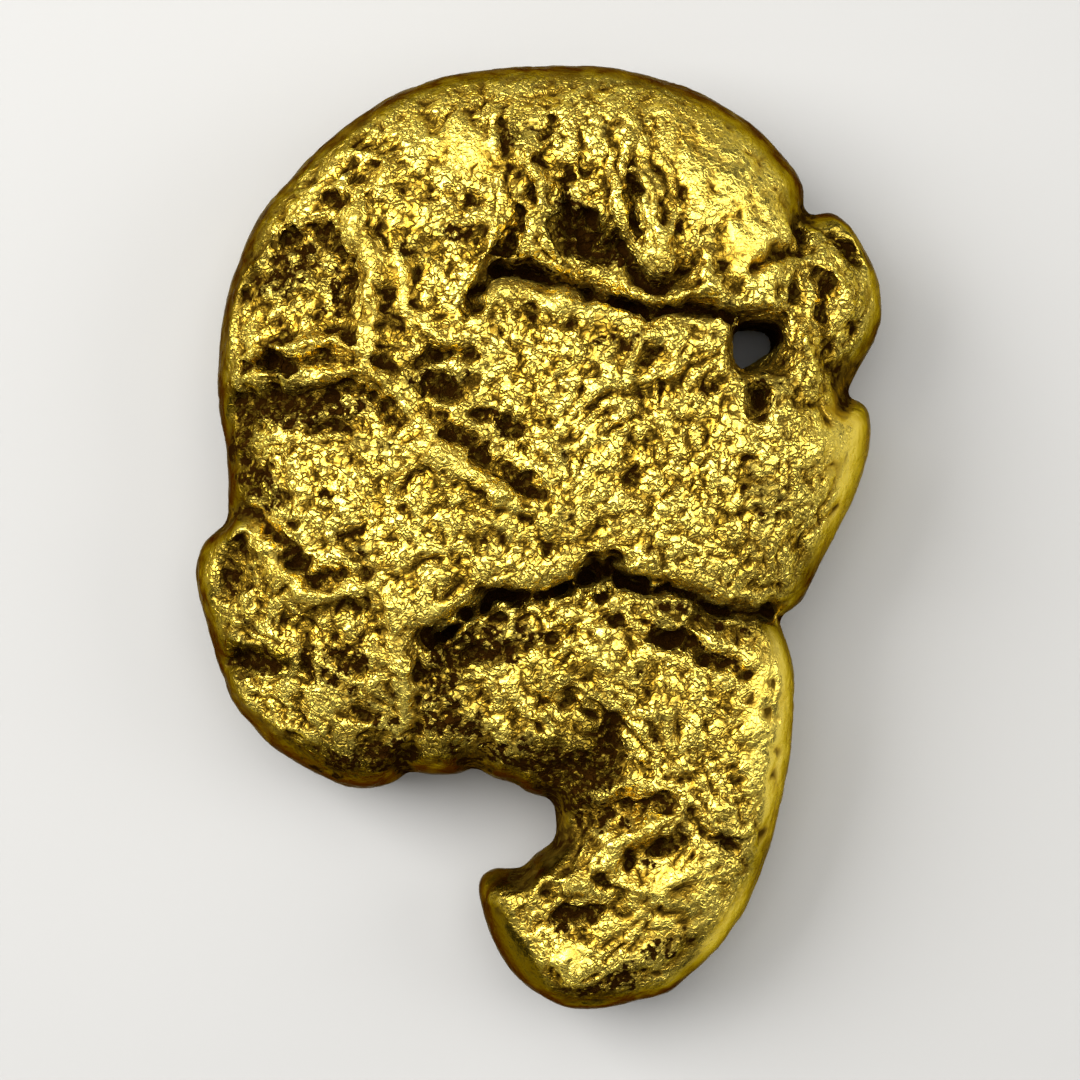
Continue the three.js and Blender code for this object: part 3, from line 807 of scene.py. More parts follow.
@dataclass(frozen=True)
class WeatheringAndShade:
    """Where the nugget is worn smooth, where brown staining, dirt and painted shade darken its colour, and
    where the rim's painted dark reflection is left off.
    """

    worn: tuple[Zone, ...] = (
        Zone((5.9, 11.3), (3.2, 2.0), 0.75, -42.0), Zone((9.4, 2.8), (1.3, 2.4), 0.8),
        Zone((7.1, -6.5), (1.0, 4.2), 0.75, 5.0), Zone((4.2, -11.6), (2.4, 2.2), 0.6, -30.0),
        Zone((2.2, -9.9), (2.4, 0.5), 0.4, 28.0), Zone((-0.9, -13.2), (1.2, 2.0), 0.9, 25.0),
        Zone((0.9, -13.0), (0.7, 0.5), 0.8), Zone((-9.0, 0.55), (1.3, 0.45), 0.8, -15.0),
        Zone((-2.2, 11.9), (1.6, 0.9), 0.6, -20.0), Zone((-4.15, 7.9), (0.5, 1.4), 0.6, 8.0),
        Zone((6.5, 8.7), (1.3, 1.0), 0.6), Zone((-4.0, -5.2), (0.4, 1.6), 0.7),
        Zone((-3.1, -2.2), (0.5, 0.4), 0.7, 30.0),
    )
    # Brown staining and painted shade: these zones darken the colour where broad shade falls, as under the
    # head's edge, in the low places and on the tail's left side.
    stained_and_shaded: tuple[Zone, ...] = (
        Zone((-8.0, 4.1), (2.8, 0.9), 0.75), Zone((-9.3, 2.4), (0.9, 1.8), 0.5),
        Zone((-8.5, 1.6), (1.5, 0.5), 0.7, -42.0), Zone((-9.5, -1.2), (0.7, 1.1), 0.5),
        Zone((-2.0, -3.5), (2.0, 0.9), 0.7, 10.0), Zone((-2.8, -5.4), (1.0, 1.9), 0.55),
        Zone((1.0, -7.0), (2.4, 1.5), 0.85, -10.0), Zone((-8.6, -3.7), (2.0, 0.7), 0.7, -8.0),
        Zone((0.6, -4.4), (1.6, 0.6), 0.45, -20.0), Zone((5.0, -2.4), (2.8, 0.6), 0.6, -12.0),
        Zone((1.8, -5.8), (1.2, 0.6), 0.5, -45.0), Zone((-1.2, 3.6), (1.6, 0.6), 0.45, -30.0),
        Zone((1.4, 9.3), (2.0, 1.3), 0.8, -30.0), Zone((3.8, 8.0), (1.6, 0.6), 0.5, -5.0),
        Zone((-3.4, 4.9), (1.8, 0.7), 0.6, -10.0), Zone((-3.6, 8.9), (1.2, 0.8), 0.45),
        Zone((-0.9, 12.3), (0.6, 1.0), 0.6), Zone((2.2, 5.9), (1.8, 0.5), 0.4, 10.0),
        Zone((-7.6, 8.2), (1.9, 1.5), 0.6), Zone((-6.5, -6.9), (3.4, 1.0), 0.65, 8.0),
        Zone((-9.0, -3.7), (1.5, 0.6), 0.5), Zone((-1.0, -13.2), (1.0, 1.9), 0.85, 25.0),
        Zone((1.4, -14.5), (1.7, 0.6), 0.75), Zone((3.8, -12.9), (2.0, 0.4), 0.55, 25.0),
        Zone((4.4, -11.6), (1.5, 0.35), 0.35, 25.0), Zone((9.9, 8.9), (0.8, 0.5), 0.6, -20.0),
    )
    # Painted shade with dirt: these zones darken the colour nearly to black where shade falls, as on the
    # neck under the head's edge, in the left valley and in the cleft.
    soaked_and_shaded: tuple[Zone, ...] = (
        Zone((0.8, -7.1), (2.2, 1.3), 0.9, -15.0), Zone((1.6, -8.7), (1.5, 0.7), 0.8, -10.0),
        Zone((-1.6, -3.3), (2.2, 0.8), 0.75, 12.0), Zone((-2.0, -6.4), (1.5, 1.5), 0.55),
        Zone((-4.8, -6.0), (0.8, 1.5), 0.6), Zone((4.9, -3.4), (2.1, 0.3), 0.85, -32.0),
        Zone((2.2, -6.3), (1.2, 0.6), 0.8, -50.0), Zone((-3.2, -4.6), (0.9, 1.5), 0.7),
        Zone((5.0, -2.5), (2.4, 0.35), 0.7, -14.0), Zone((1.5, 9.2), (1.8, 0.9), 0.9, -32.0),
        Zone((0.9, 10.6), (0.4, 1.0), 0.7), Zone((3.6, 8.0), (1.3, 0.4), 0.7, -10.0),
        Zone((-0.3, 8.3), (1.4, 0.4), 0.7, -8.0), Zone((-1.0, 12.3), (0.4, 0.8), 0.8),
        Zone((-7.4, 4.0), (2.4, 0.6), 0.85, 2.0), Zone((-9.4, 3.1), (0.7, 0.5), 0.8),
        Zone((-8.6, 1.6), (1.4, 0.7), 0.75, -42.0), Zone((-6.4, 1.3), (0.4, 0.35), 0.7),
        Zone((-7.9, 8.4), (1.6, 1.1), 0.65, 20.0), Zone((-6.1, 7.7), (0.4, 1.1), 0.7, 5.0),
        Zone((-7.0, 6.9), (0.9, 0.5), 0.5), Zone((-3.1, 4.9), (1.2, 0.5), 0.75, -8.0),
        Zone((-1.2, 3.6), (1.2, 0.4), 0.7, -30.0), Zone((-2.4, 9.4), (0.8, 0.6), 0.6),
        Zone((-3.8, 8.9), (0.8, 0.5), 0.6), Zone((-4.6, 5.4), (0.5, 0.4), 0.7),
        Zone((2.4, 6.0), (1.5, 0.35), 0.55, 8.0), Zone((6.7, 4.4), (0.4, 1.0), 0.8),
        Zone((9.6, 9.2), (0.7, 0.3), 0.8, -28.0), Zone((-9.4, -1.3), (0.6, 0.9), 0.6),
        Zone((-8.9, -3.8), (1.3, 0.35), 0.85, -4.0), Zone((-6.2, -3.7), (1.9, 1.3), 0.6),
        Zone((-6.1, -7.0), (2.4, 0.6), 0.7, 8.0), Zone((0.7, -12.0), (1.0, 0.5), 0.7),
        Zone((3.7, -12.8), (2.0, 0.7), 0.55, 28.0), Zone((1.9, -13.9), (1.8, 0.5), 0.6, 10.0),
        Zone((3.4, -10.0), (0.7, 0.25), 0.6), Zone((5.8, -9.6), (0.7, 0.2), 0.7, -42.0),
    )
    # Zones where the painted dark reflection along the rim is left off, on the sides that face the lights.
    unshaded_rim: tuple[Zone, ...] = (
        Zone((9.6, 2.0), (2.2, 3.2), 0.9), Zone((7.6, -6.5), (1.6, 5.0), 0.9, 4.0),
        Zone((6.2, -12.2), (1.4, 2.4), 0.8, -35.0), Zone((10.3, 8.5), (1.0, 2.0), 0.6),
    )
    wear_band: Pair = (0.285, 0.95)
    # The rim's colour is darkened within this band of depth inside the outline, as a painted dark
    # reflection.
    rim_reflection_band: Pair = (0.3375, 1.35)
    rim_dark_reflection: float = 0.75
    rim_wear: float = 0.95
    most_wear: float = 0.95
    ridge_height: float = 0.5
    ridge_wear: float = 0.28
    soaked_and_shaded_heights: Pair = (2.0, 3.8)

    def smooth_at(self, plan: Array, depth: Array) -> Array:
        """How smooth each place is worn.

        Args:
            plan: x and y of each place.
            depth: how deep inside the outline each place lies.

        Returns:
            The shares, 0 for rough to 1 for smooth.
        """
        rim = self.rim_wear * (1.0 - smoothstep(*self.wear_band, depth))
        return np.clip(self._total(self.worn, plan) + rim, 0.0, self.most_wear)

    def stain_and_shade_at(self, plan: Array, depth: Array) -> Array:
        """How much brown staining and painted shade darken each place, with a painted dark reflection along
        the rim.

        Args:
            plan: x and y of each place.
            depth: how deep inside the outline each place lies.

        Returns:
            The shares, 0 for the gold's own colour to 1 for brown.
        """
        # Painted dark reflection along the rim, left off on the zones that face the lights.
        rim = self.rim_dark_reflection * (1.0 - smoothstep(*self.rim_reflection_band, depth))
        rim *= 1.0 - np.clip(self._total(self.unshaded_rim, plan), 0.0, 1.0)
        return np.clip(self._total(self.stained_and_shaded, plan) + rim, 0.0, 1.0)

    def soaked_and_shaded_at(self, plan: Array, height: Array) -> Array:
        """How much dirt and painted shade darken each place, which fades down the sides.

        Args:
            plan: x and y of each place.
            height: the height of each place over the resting plane.

        Returns:
            The shares, 0 for the gold's own colour to 1 for darkest.
        """
        soaked_and_shaded = np.clip(self._total(self.soaked_and_shaded, plan), 0.0, 1.0)
        return soaked_and_shaded * smoothstep(*self.soaked_and_shaded_heights, height)

    @staticmethod
    def _total(zones: tuple[Zone, ...], plan: Array) -> Array:
        """Sum of the zones' shares at each place in plan."""
        return sum(zone.share_at(plan) for zone in zones)


@dataclass(frozen=True)
class FaceRelief:
    """The whole listed relief of the upper face."""

    features: tuple[Crease | Pit, ...] = (*HEAD, *EAR, *CHEEK, *NECK, *TAIL)
    wander: Wander = Wander()
    uneven_lengths: tuple[float, ...] = (0.9, 0.45)
    uneven_shares: tuple[float, ...] = (0.42, 0.3)
    uneven_limits: Pair = (0.45, 1.5)
    uneven_seed: int = 60

    def depth_at(self, places: Array) -> Array:
        """Depth of the relief under each place, with wandering edges and uneven depths.

        Args:
            places: x, y and z of each place.

        Returns:
            The depths, positive downwards.
        """
        plan = places[:, :2] + self.wander.drift_at(places)
        uneven = 1.0
        for n, (length, share) in enumerate(zip(self.uneven_lengths, self.uneven_shares)):
            uneven += share * GradientNoise(self.uneven_seed + n).at(places / length)
        depth = sum(feature.depth_at(plan) for feature in self.features)
        return depth * np.clip(uneven, *self.uneven_limits)


# ------------------------------------------------------------------ pitting


def lumps(noise: Array, valley: float = 0.28, middle: float = 0.6) -> Array:
    """Turns noise into broad lumps with narrow valleys where the noise is 0.

    Args:
        noise: the noise at each place.
        valley: how wide the valleys are.
        middle: the lumps' mean height, which is taken off.

    Returns:
        The heights, from -middle in a valley up to 1 - middle.
    """
    return 1.0 - np.exp(-np.abs(noise) / valley) - middle


@dataclass(frozen=True)
class Folds:
    """A zone of folds that run side by side."""

    zone: Zone
    run: float
    spacing: float = 0.6
    stretch: float = 3.5
    seed: int = 70

    def height_at(self, places: Array) -> Array:
        """Height of the folds, which the zone's strength sets.

        Args:
            places: x, y and z of each place.

        Returns:
            The heights, above and below the middle of the folds.
        """
        along, across = turned(places, self.run)
        axes = (along / (self.spacing * self.stretch), across / self.spacing, places[:, 2] / self.spacing)
        return self.zone.share_at(places[:, :2]) * lumps(GradientNoise(self.seed).at(np.column_stack(axes)))


@dataclass(frozen=True)
class Pitting:
    """The skin: crumpled lumps parted by winding valleys, folds, ragged hollows and fine grain."""

    lump_lengths: tuple[float, ...] = (3.0, 1.5, 0.8, 0.42)
    lump_heights: tuple[float, ...] = (0.2, 0.1, 0.085, 0.065)
    hollow_length: float = 1.25
    hollow_range: Pair = (0.16, 0.56)
    hollow_depth: float = 0.07
    hollow_edge: float = 0.45
    hollow_edge_detail: float = 3.0
    warps: tuple[float, ...] = (0.55, 0.2)
    warp_lengths: tuple[float, ...] = (2.2, 0.8)
    grain: float = 0.05
    grain_length: float = 0.2
    worn_share: float = 0.18
    underside_share: float = 0.4
    warp_seed: int = 40
    lump_seed: int = 44
    grain_seed: int = 60
    hollow_seed: int = 70
    folds: tuple[Folds, ...] = (
        Folds(Zone((1.6, 10.4), (3.2, 2.6), 0.3), 96.0, 0.6),
        Folds(Zone((5.4, 11.8), (3.6, 1.8), 0.12, -38.0), -36.0, 0.45, 5.0),
        Folds(Zone((-6.4, 11.4), (2.8, 1.3), 0.2, 35.0), 24.0, 0.5),
        Folds(Zone((-8.0, 3.8), (2.6, 1.8), 0.2), -8.0, 0.6),
        Folds(Zone((2.6, 3.6), (4.2, 3.0), 0.14), 52.0, 0.6),
        Folds(Zone((-8.0, -3.6), (2.6, 2.6), 0.2), -18.0, 0.7),
        Folds(Zone((0.8, -2.7), (4.4, 1.2), 0.2), 4.0, 0.45),
        Folds(Zone((1.4, -5.6), (3.2, 2.2), 0.2), -42.0, 0.7),
        Folds(Zone((5.2, -8.0), (2.4, 2.2), 0.16), -60.0, 0.45),
        Folds(Zone((2.6, -12.0), (3.8, 2.2), 0.16, 20.0), 26.0, 0.55),
    )

    def bent(self, places: Array) -> Array:
        """The places drawn out and bent, so that what is laid over them flows.

        Args:
            places: x, y and z of each place.

        Returns:
            The bent places, in the same shape.
        """
        moved = places.copy()
        for reach, length in zip(self.warps, self.warp_lengths):
            noises = [GradientNoise(self.warp_seed + n).at(places / length) for n in range(3)]
            moved += reach * np.column_stack(noises)
        return moved

    def hollows_at(self, bent: Array) -> Array:
        """How much each place lies in one of the ragged hollows.

        Args:
            bent: one row of x, y and z for each bent place.

        Returns:
            The shares, 0 outside to 1 on a hollow's floor.
        """
        noise = GradientNoise(self.hollow_seed).at(bent / self.hollow_length)
        ragged = GradientNoise(self.hollow_seed + 1).at(bent * self.hollow_edge_detail / self.hollow_length)
        return smoothstep(*self.hollow_range, noise + self.hollow_edge * ragged)

    def height_at(self, places: Array, rough: Array) -> Array:
        """Height of the skin over the smooth form.

        Args:
            places: x, y and z of each place.
            rough: how rough each place is, 0 to 1.

        Returns:
            The heights, above and below the form.
        """
        bent = self.bent(places)
        height = sum(folds.height_at(bent) for folds in self.folds)
        height -= self.hollow_depth * self.hollows_at(bent)
        for n, (length, rise) in enumerate(zip(self.lump_lengths, self.lump_heights)):
            height += rise * lumps(GradientNoise(self.lump_seed + n).at(bent / length))
        height *= self.worn_share + (1.0 - self.worn_share) * rough
        return height + rough * self.grain * GradientNoise(self.grain_seed).at(bent / self.grain_length)


# ------------------------------------------------------------------ the nugget


@dataclass(frozen=True)
class Sunk:
    """A measure of how far a point lies below the surface around it."""

    name: str
    passes: int
    reach: float

    def at(self, surface: Surface, normals: Array) -> Array:
        """The measure at each point of a surface.

        Args:
            surface: the surface to measure.
            normals: its normals.

        Returns:
            The shares, from 0 on a high spot through 0.5 on an even one to 1 in a hollow.
        """
        below = ((surface.smoothed(self.passes) - surface.points) * normals).sum(axis=1)
        return np.clip(0.5 + 0.5 * below / self.reach, 0.0, 1.0)


@dataclass
class Nugget:
    """The nugget's visible mesh."""

    node: str = "nugget"
    name: str = "gold_nugget"
    first_cell: float = 0.13
    last_cell: float = 0.078
    facet_passes: int = 3
    carved_passes: int = 2
    triangle_limit: int = 198_000
    carved_slopes: Pair = (0.05, 0.6)
    face_slopes: Pair = (-0.3, 0.5)
    side_slopes: Pair = (-0.8, -0.2)
    sunk: tuple[Sunk, ...] = (Sunk("fine", 3, 0.03), Sunk("hollow", 25, 0.12), Sunk("crease", 160, 0.4))
    pebble: Pebble = field(default_factory=Pebble)
    relief: FaceRelief = field(default_factory=FaceRelief)
    pitting: Pitting = field(default_factory=Pitting)
    weathering_and_shade: WeatheringAndShade = field(default_factory=WeatheringAndShade)

    def build(self, frame: dict) -> bpy.types.Object:
        """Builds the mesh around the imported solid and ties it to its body.


        Returns:
            The nugget's object.
        """
        surface = self._packed_solid(frame).remeshed(self.first_cell)
        surface.points = self.pebble.settled(surface.points)
        surface.points = surface.smoothed(self.facet_passes)
        self._carve(surface)
        surface = surface.remeshed(self.last_cell)
        surface.points = surface.smoothed(self.carved_passes)
        self._pit(surface)
        surface = surface.thinned(self.triangle_limit)
        surface.points[:, 2] = np.maximum(surface.points[:, 2], 0.0)
        piece = bpy.data.objects.new(self.name, surface.to_mesh(self.name, METRE))
        bpy.context.scene.collection.objects.link(piece)
        self._mark_wear_and_shade(surface, piece.data)
        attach(piece, "root")
        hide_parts(self.node)
        return piece

    def _packed_solid(self, frame: dict) -> Surface:
        """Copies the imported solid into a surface.


        Returns:
            The surface, in millimetres.
        """
        mesh = frame["nodes"][self.node].data.copy()
        surface = Surface.from_mesh(mesh)
        bpy.data.meshes.remove(mesh)
        low, high = (np.array(corner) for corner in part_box(self.node))
        length = METRE * (high - low)[1]
        log.info("packed solid: %d triangles, %.1f mm long", len(surface.triangles), length)
        surface.points *= METRE
        return surface

    def _carve(self, surface: Surface) -> None:
        """Cuts the listed relief into the upper face.

        Args:
            surface: the surface to carve.
        """
        facing = smoothstep(*self.carved_slopes, surface.normals()[:, 2])
        surface.points[:, 2] -= facing * self.relief.depth_at(surface.points)
        log.info("face: %d creases, ridges and pits", len(self.relief.features))

    def _roughness(self, surface: Surface, normals: Array) -> Array:
        """How pitted each point is: least on worn zones, on ridges and on the underside.

        Args:
            surface: the surface whose points are asked about.
            normals: its normals.

        Returns:
            The shares, 0 for smooth to 1 for fully pitted.
        """
        plan = surface.points[:, :2]
        worn = self.weathering_and_shade.smooth_at(plan, self.pebble.depth_at(plan))
        ridge = smoothstep(0.0, self.weathering_and_shade.ridge_height, -self.relief.depth_at(surface.points))
        worn = np.maximum(worn, self.weathering_and_shade.ridge_wear * ridge)
        up = smoothstep(*self.face_slopes, normals[:, 2])
        side = smoothstep(*self.side_slopes, normals[:, 2])
        share = self.pitting.underside_share
        return (share + (1.0 - share) * up) * (1.0 - worn * side)

    def _pit(self, surface: Surface) -> None:
        """Moves the skin along its normals by the pitting.

        Args:
            surface: the surface to pit.
        """
        normals = surface.normals()
        rough = self._roughness(surface, normals)
        height = self.pitting.height_at(surface.points, rough)
        surface.points += normals * height[:, None]

    def _mark_wear_and_shade(self, surface: Surface, mesh: bpy.types.Mesh) -> None:
        """Stores for the finish how pitted and sunk each point is, and how much staining, dirt and painted
        shade darken it.

        Args:
            surface: the finished surface.
            mesh: the mesh made from it, which takes the numbers.
        """
        normals = surface.normals()
        plan, height = surface.points[:, :2], surface.points[:, 2]
        rough = self._roughness(surface, normals)
        drifted = plan + self.relief.wander.drift_at(surface.points)
        values = {
            "pitted": rough,
            # Painted shade over the skin's ragged hollows, which are cut only shallow into the mesh.
            "dark": rough * self.pitting.hollows_at(self.pitting.bent(surface.points)),
            "stain_and_shade": self.weathering_and_shade.stain_and_shade_at(plan, self.pebble.depth_at(plan)),
            "soaked_and_shaded": self.weathering_and_shade.soaked_and_shaded_at(drifted, height),
            **{sunk.name: sunk.at(surface, normals) for sunk in self.sunk},
        }
        for name, numbers in values.items():
            layer = mesh.attributes.new(name, "FLOAT", "POINT")
            layer.data.foreach_set("value", numbers.astype(np.float32))


# ------------------------------------------------------------------ finish


@dataclass(frozen=True)
class Patches:
    """Cloudy patches: noise with features of a length, mapped from a band of its values to shares."""

    length: float
    band: Pair
    shares: Pair = (0.0, 1.0)
    detail: float = 2.0


class NodeGraph:
    """Short ways of adding nodes to a material."""

    def __init__(self, tree: bpy.types.NodeTree) -> None:
        """Starts from a material's own tree.

        Args:
            tree: the tree to add to.
        """
        self.nodes, self.links = tree.nodes, tree.links
        self._place = self.nodes.new("ShaderNodeTexCoord").outputs["Object"]

    def attribute(self, name: str) -> Socket:
        """Reads a number that is stored at the mesh's points.

        Args:
            name: name of the stored number.

        Returns:
            The number.
        """
        node = self.nodes.new("ShaderNodeAttribute")
        node.attribute_name = name
        return node.outputs["Fac"]

    def ramp(self, value: Socket, band: Pair, shares: Pair = (0.0, 1.0)) -> Socket:
        """Maps a band of values to a range of shares, and holds the ends beyond it.

        Args:
            value: the value to map.
            band: the values at which the result starts and stops changing.
            shares: the results at those values.

        Returns:
            The mapped value.
        """
        node = self.nodes.new("ShaderNodeMapRange")
        self.links.new(value, node.inputs["Value"])
        for socket, number in zip(("From Min", "From Max", "To Min", "To Max"), (*band, *shares)):
            node.inputs[socket].default_value = number
        return node.outputs["Result"]

    def math(self, operation: str, *values: Socket | float) -> Socket:
        """Works a sum on sockets or plain numbers.

        Args:
            operation: the node's name for the sum.
            values: what goes into it.

        Returns:
            The result.
        """
        node = self.nodes.new("ShaderNodeMath")
        node.operation = operation
        for socket, value in zip(node.inputs, values):
            if isinstance(value, float):
                socket.default_value = value
            else:
                self.links.new(value, socket)
        return node.outputs["Value"]

    def product(self, first: Socket, second: Socket | float) -> Socket:
        """Two values multiplied."""
        return self.math("MULTIPLY", first, second)

    def highest(self, *values: Socket) -> Socket:
        """The highest of some values."""
        return functools.reduce(lambda first, second: self.math("MAXIMUM", first, second), values)

    def blend(self, factor: Socket, first: Socket | Colour, second: Socket | Colour) -> Socket:
        """Blends two colours.

        Args:
            factor: how much of the second colour there is.
            first: a socket or a fixed colour.
            second: a socket or a fixed colour.

        Returns:
            The blended colour.
        """
        node = self.nodes.new("ShaderNodeMix")
        node.data_type = "RGBA"
        self.links.new(factor, node.inputs["Factor"])
        for name, colour in (("A_Color", first), ("B_Color", second)):
            socket = next(socket for socket in node.inputs if socket.identifier == name)
            if isinstance(colour, tuple):
                socket.default_value = (*colour, 1.0)
            else:
                self.links.new(colour, socket)
        return next(socket for socket in node.outputs if socket.identifier == "Result_Color")

    def noise(self, length: float, detail: float) -> Socket:
        """Makes noise in space.

        Args:
            length: length of its features, in millimetres.
            detail: how many finer layers it has.

        Returns:
            The noise, about 0 to 1.
        """
        node = self.nodes.new("ShaderNodeTexNoise")
        self.links.new(self._place, node.inputs["Vector"])
        node.inputs["Scale"].default_value = METRE / length
        node.inputs["Detail"].default_value = detail
        return node.outputs["Fac"]

    def patches(self, patches: Patches) -> Socket:
        """Cloudy patches, as the given ones say."""
        return self.ramp(self.noise(patches.length, patches.detail), patches.band, patches.shares)

    def net(self, length: float, width: float, detail: float = 1.5) -> Socket:
        """Makes a net of thin winding lines, where noise crosses its middle level.

        Args:
            length: size of the net's meshes, in millimetres.
            width: how far from the middle level a line reaches.
            detail: how many finer layers the noise has.

        Returns:
            The net, 1 on a line and 0 between.
        """
        away = self.math("ABSOLUTE", self.math("SUBTRACT", self.noise(length, detail), 0.5))
        return self.ramp(away, (0.0, width), (1.0, 0.0))


@dataclass(frozen=True)
class NativeGold:
    """Native gold: bright on the high spots, darkened brown in the crevices by dirt and painted shade, with
    a net of cracks darkened by painted shade.
    """

    bright: Colour = (1.0, 0.77, 0.13)
    # The deep, brown and near-black colours darken the gold: at random in patches, as brown staining and
    # dirt, as painted shade in hollows, creases, cracks and shaded zones, and as a painted dark reflection
    # along the rim.
    deep: Colour = (0.58, 0.35, 0.03)
    stain_and_shade: Colour = (0.19, 0.125, 0.011)
    crevice_shade: Colour = (0.024, 0.009, 0.001)
    edge_tint: Colour = (0.24, 0.18, 0.02)
    # These bands set where the hollows, creases, pores and cracks take painted shade.
    deep_hollows: Pair = (0.35, 0.62)
    deep_patches: Patches = Patches(1.3, (0.45, 0.65), (0.0, 0.45))
    stain_and_shade_patches: Patches = Patches(0.7, (0.3, 0.6), (0.7, 1.0))
    stain_and_shade_edge: Pair = (0.1, 0.75)
    shaded_hollows: Pair = (0.55, 0.85)
    soaked_and_shaded_patches: Patches = Patches(0.45, (0.35, 0.65), (0.35, 1.5))
    soaked_and_shaded_edge: Pair = (0.3, 0.55)
    dark_patches: Patches = Patches(0.5, (0.4, 0.6), (0.4, 1.0))
    dark_shaded_hollows: Pair = (0.4, 0.58)
    rubbed_flecks: Patches = Patches(0.2, (0.52, 0.62), (1.0, 0.25))
    shaded_pores: Pair = (0.55, 0.9)
    pore_darkness: float = 0.85
    shaded_creases: Pair = (0.62, 0.95)
    crack_lengths: tuple[float, ...] = (0.48, 0.28)
    crack_widths: tuple[float, ...] = (0.036, 0.055)
    crack_darkness: float = 0.92
    crack_depth: float = 0.5
    rough_pores: Pair = (0.3, 0.8)
    worn_roughness: float = 0.24
    pitted_roughness: float = 0.38
    grime_roughness: float = 0.45
    grain: Patches = Patches(0.2, (0.0, 1.0), (0.3, 1.2), 3.0)
    grain_height: float = 0.07

    def build(self) -> bpy.types.Material:
        """Makes the material.

        Returns:
            The new material.
        """
        material = bpy.data.materials.new("native_gold")
        material.use_nodes = True
        graph = NodeGraph(material.node_tree)
        shader = graph.nodes["Principled BSDF"]
        shader.inputs["Metallic"].default_value = 1.0
        shader.inputs["Specular Tint"].default_value = (*self.edge_tint, 1.0)
        cracks = self._cracks(graph)
        stained_and_shaded = self._stained_and_shaded(graph)
        grime_and_shade = self._grime_and_shade(graph, stained_and_shaded, cracks)
        graph.links.new(self._colour(graph, stained_and_shaded, grime_and_shade), shader.inputs["Base Color"])
        graph.links.new(self._roughness(graph, grime_and_shade), shader.inputs["Roughness"])
        graph.links.new(self._grain(graph, cracks), shader.inputs["Normal"])
        return material

    def _cracks(self, graph: NodeGraph) -> Socket:
        """The nets of fine cracks, 1 on a line, where the skin is pitted."""
        nets = (graph.net(*pair) for pair in zip(self.crack_lengths, self.crack_widths))
        return graph.product(graph.highest(*nets), graph.attribute("pitted"))

    def _stained_and_shaded(self, graph: NodeGraph) -> Socket:
        """How much brown staining and painted shade darken each place.

        Args:
            graph: the material's nodes.

        Returns:
            The shares: the highest of the rim's painted dark reflection, the zones of staining and painted
                shade, and painted shade in the deeper hollows.
        """
        # Staining with painted shade from the zones and the rim's painted dark reflection, and painted
        # shade in the deeper hollows.
        zones = graph.product(graph.attribute("stain_and_shade"), graph.patches(self.stain_and_shade_patches))
        hollows = graph.ramp(graph.attribute("hollow"), self.shaded_hollows)
        return graph.highest(graph.ramp(zones, self.stain_and_shade_edge), hollows)

    def _grime_and_shade(self, graph: NodeGraph, stained_and_shaded: Socket, cracks: Socket) -> Socket:
        """How much dirt and painted shade darken each place.

        Args:
            graph: the material's nodes.
            stained_and_shaded: how much brown staining and painted shade darken each place.
            cracks: the nets of cracks.

        Returns:
            The shares: patches of dirt and painted shade with rubbed flecks, and near-black painted shade
                in cracks, pores and creases.
        """
        # Painted shade with dirt from the zones, broken into patches.
        soaked_and_shaded = graph.product(graph.attribute("soaked_and_shaded"), graph.patches(self.soaked_and_shaded_patches))
        # Painted shade with dirt: dark patches over the skin's hollows, the shaded zones, and the hollows
        # of the stained and shaded zones.
        patches = graph.highest(
            graph.product(graph.attribute("dark"), graph.patches(self.dark_patches)),
            graph.ramp(soaked_and_shaded, self.soaked_and_shaded_edge),
            graph.product(stained_and_shaded, graph.ramp(graph.attribute("hollow"), self.dark_shaded_hollows)),
        )
        # Near-black painted shade in the cracks, the pores and the creases, on top of the patches.
        return graph.highest(
            graph.product(patches, graph.patches(self.rubbed_flecks)),
            graph.product(cracks, self.crack_darkness),
            graph.ramp(graph.attribute("fine"), self.shaded_pores, (0.0, self.pore_darkness)),
            graph.ramp(graph.attribute("crease"), self.shaded_creases),
        )

    def _colour(self, graph: NodeGraph, stained_and_shaded: Socket, grime_and_shade: Socket) -> Socket:
        """The gold's colour.

        Args:
            graph: the material's nodes.
            stained_and_shaded: how much brown staining and painted shade darken each place.
            grime_and_shade: how much dirt and painted shade darken each place.

        Returns:
            The colour: bright gold, deeper in patches and, as painted shade, in hollows, then browner under
                staining and painted shade and near black under dirt and painted shade.
        """
        # Painted shade: deeper gold in the hollows, brown under staining and painted shade, and near black
        # under dirt and painted shade.
        hollow = graph.ramp(graph.attribute("hollow"), self.deep_hollows)
        colour = graph.blend(hollow, self.bright, self.deep)
        colour = graph.blend(graph.patches(self.deep_patches), colour, self.deep)
        colour = graph.blend(stained_and_shaded, colour, self.stain_and_shade)
        return graph.blend(grime_and_shade, colour, self.crevice_shade)

    def _roughness(self, graph: NodeGraph, grime_and_shade: Socket) -> Socket:
        """The gold's roughness.

        Args:
            graph: the material's nodes.
            grime_and_shade: how much dirt and painted shade darken each place.

        Returns:
            The roughness: more in pores, and most where dirt and painted shade darken the colour.
        """
        levels = (self.worn_roughness, self.pitted_roughness)
        metal = graph.ramp(graph.attribute("fine"), self.rough_pores, levels)
        return graph.math("ADD", metal, graph.product(grime_and_shade, self.grime_roughness))

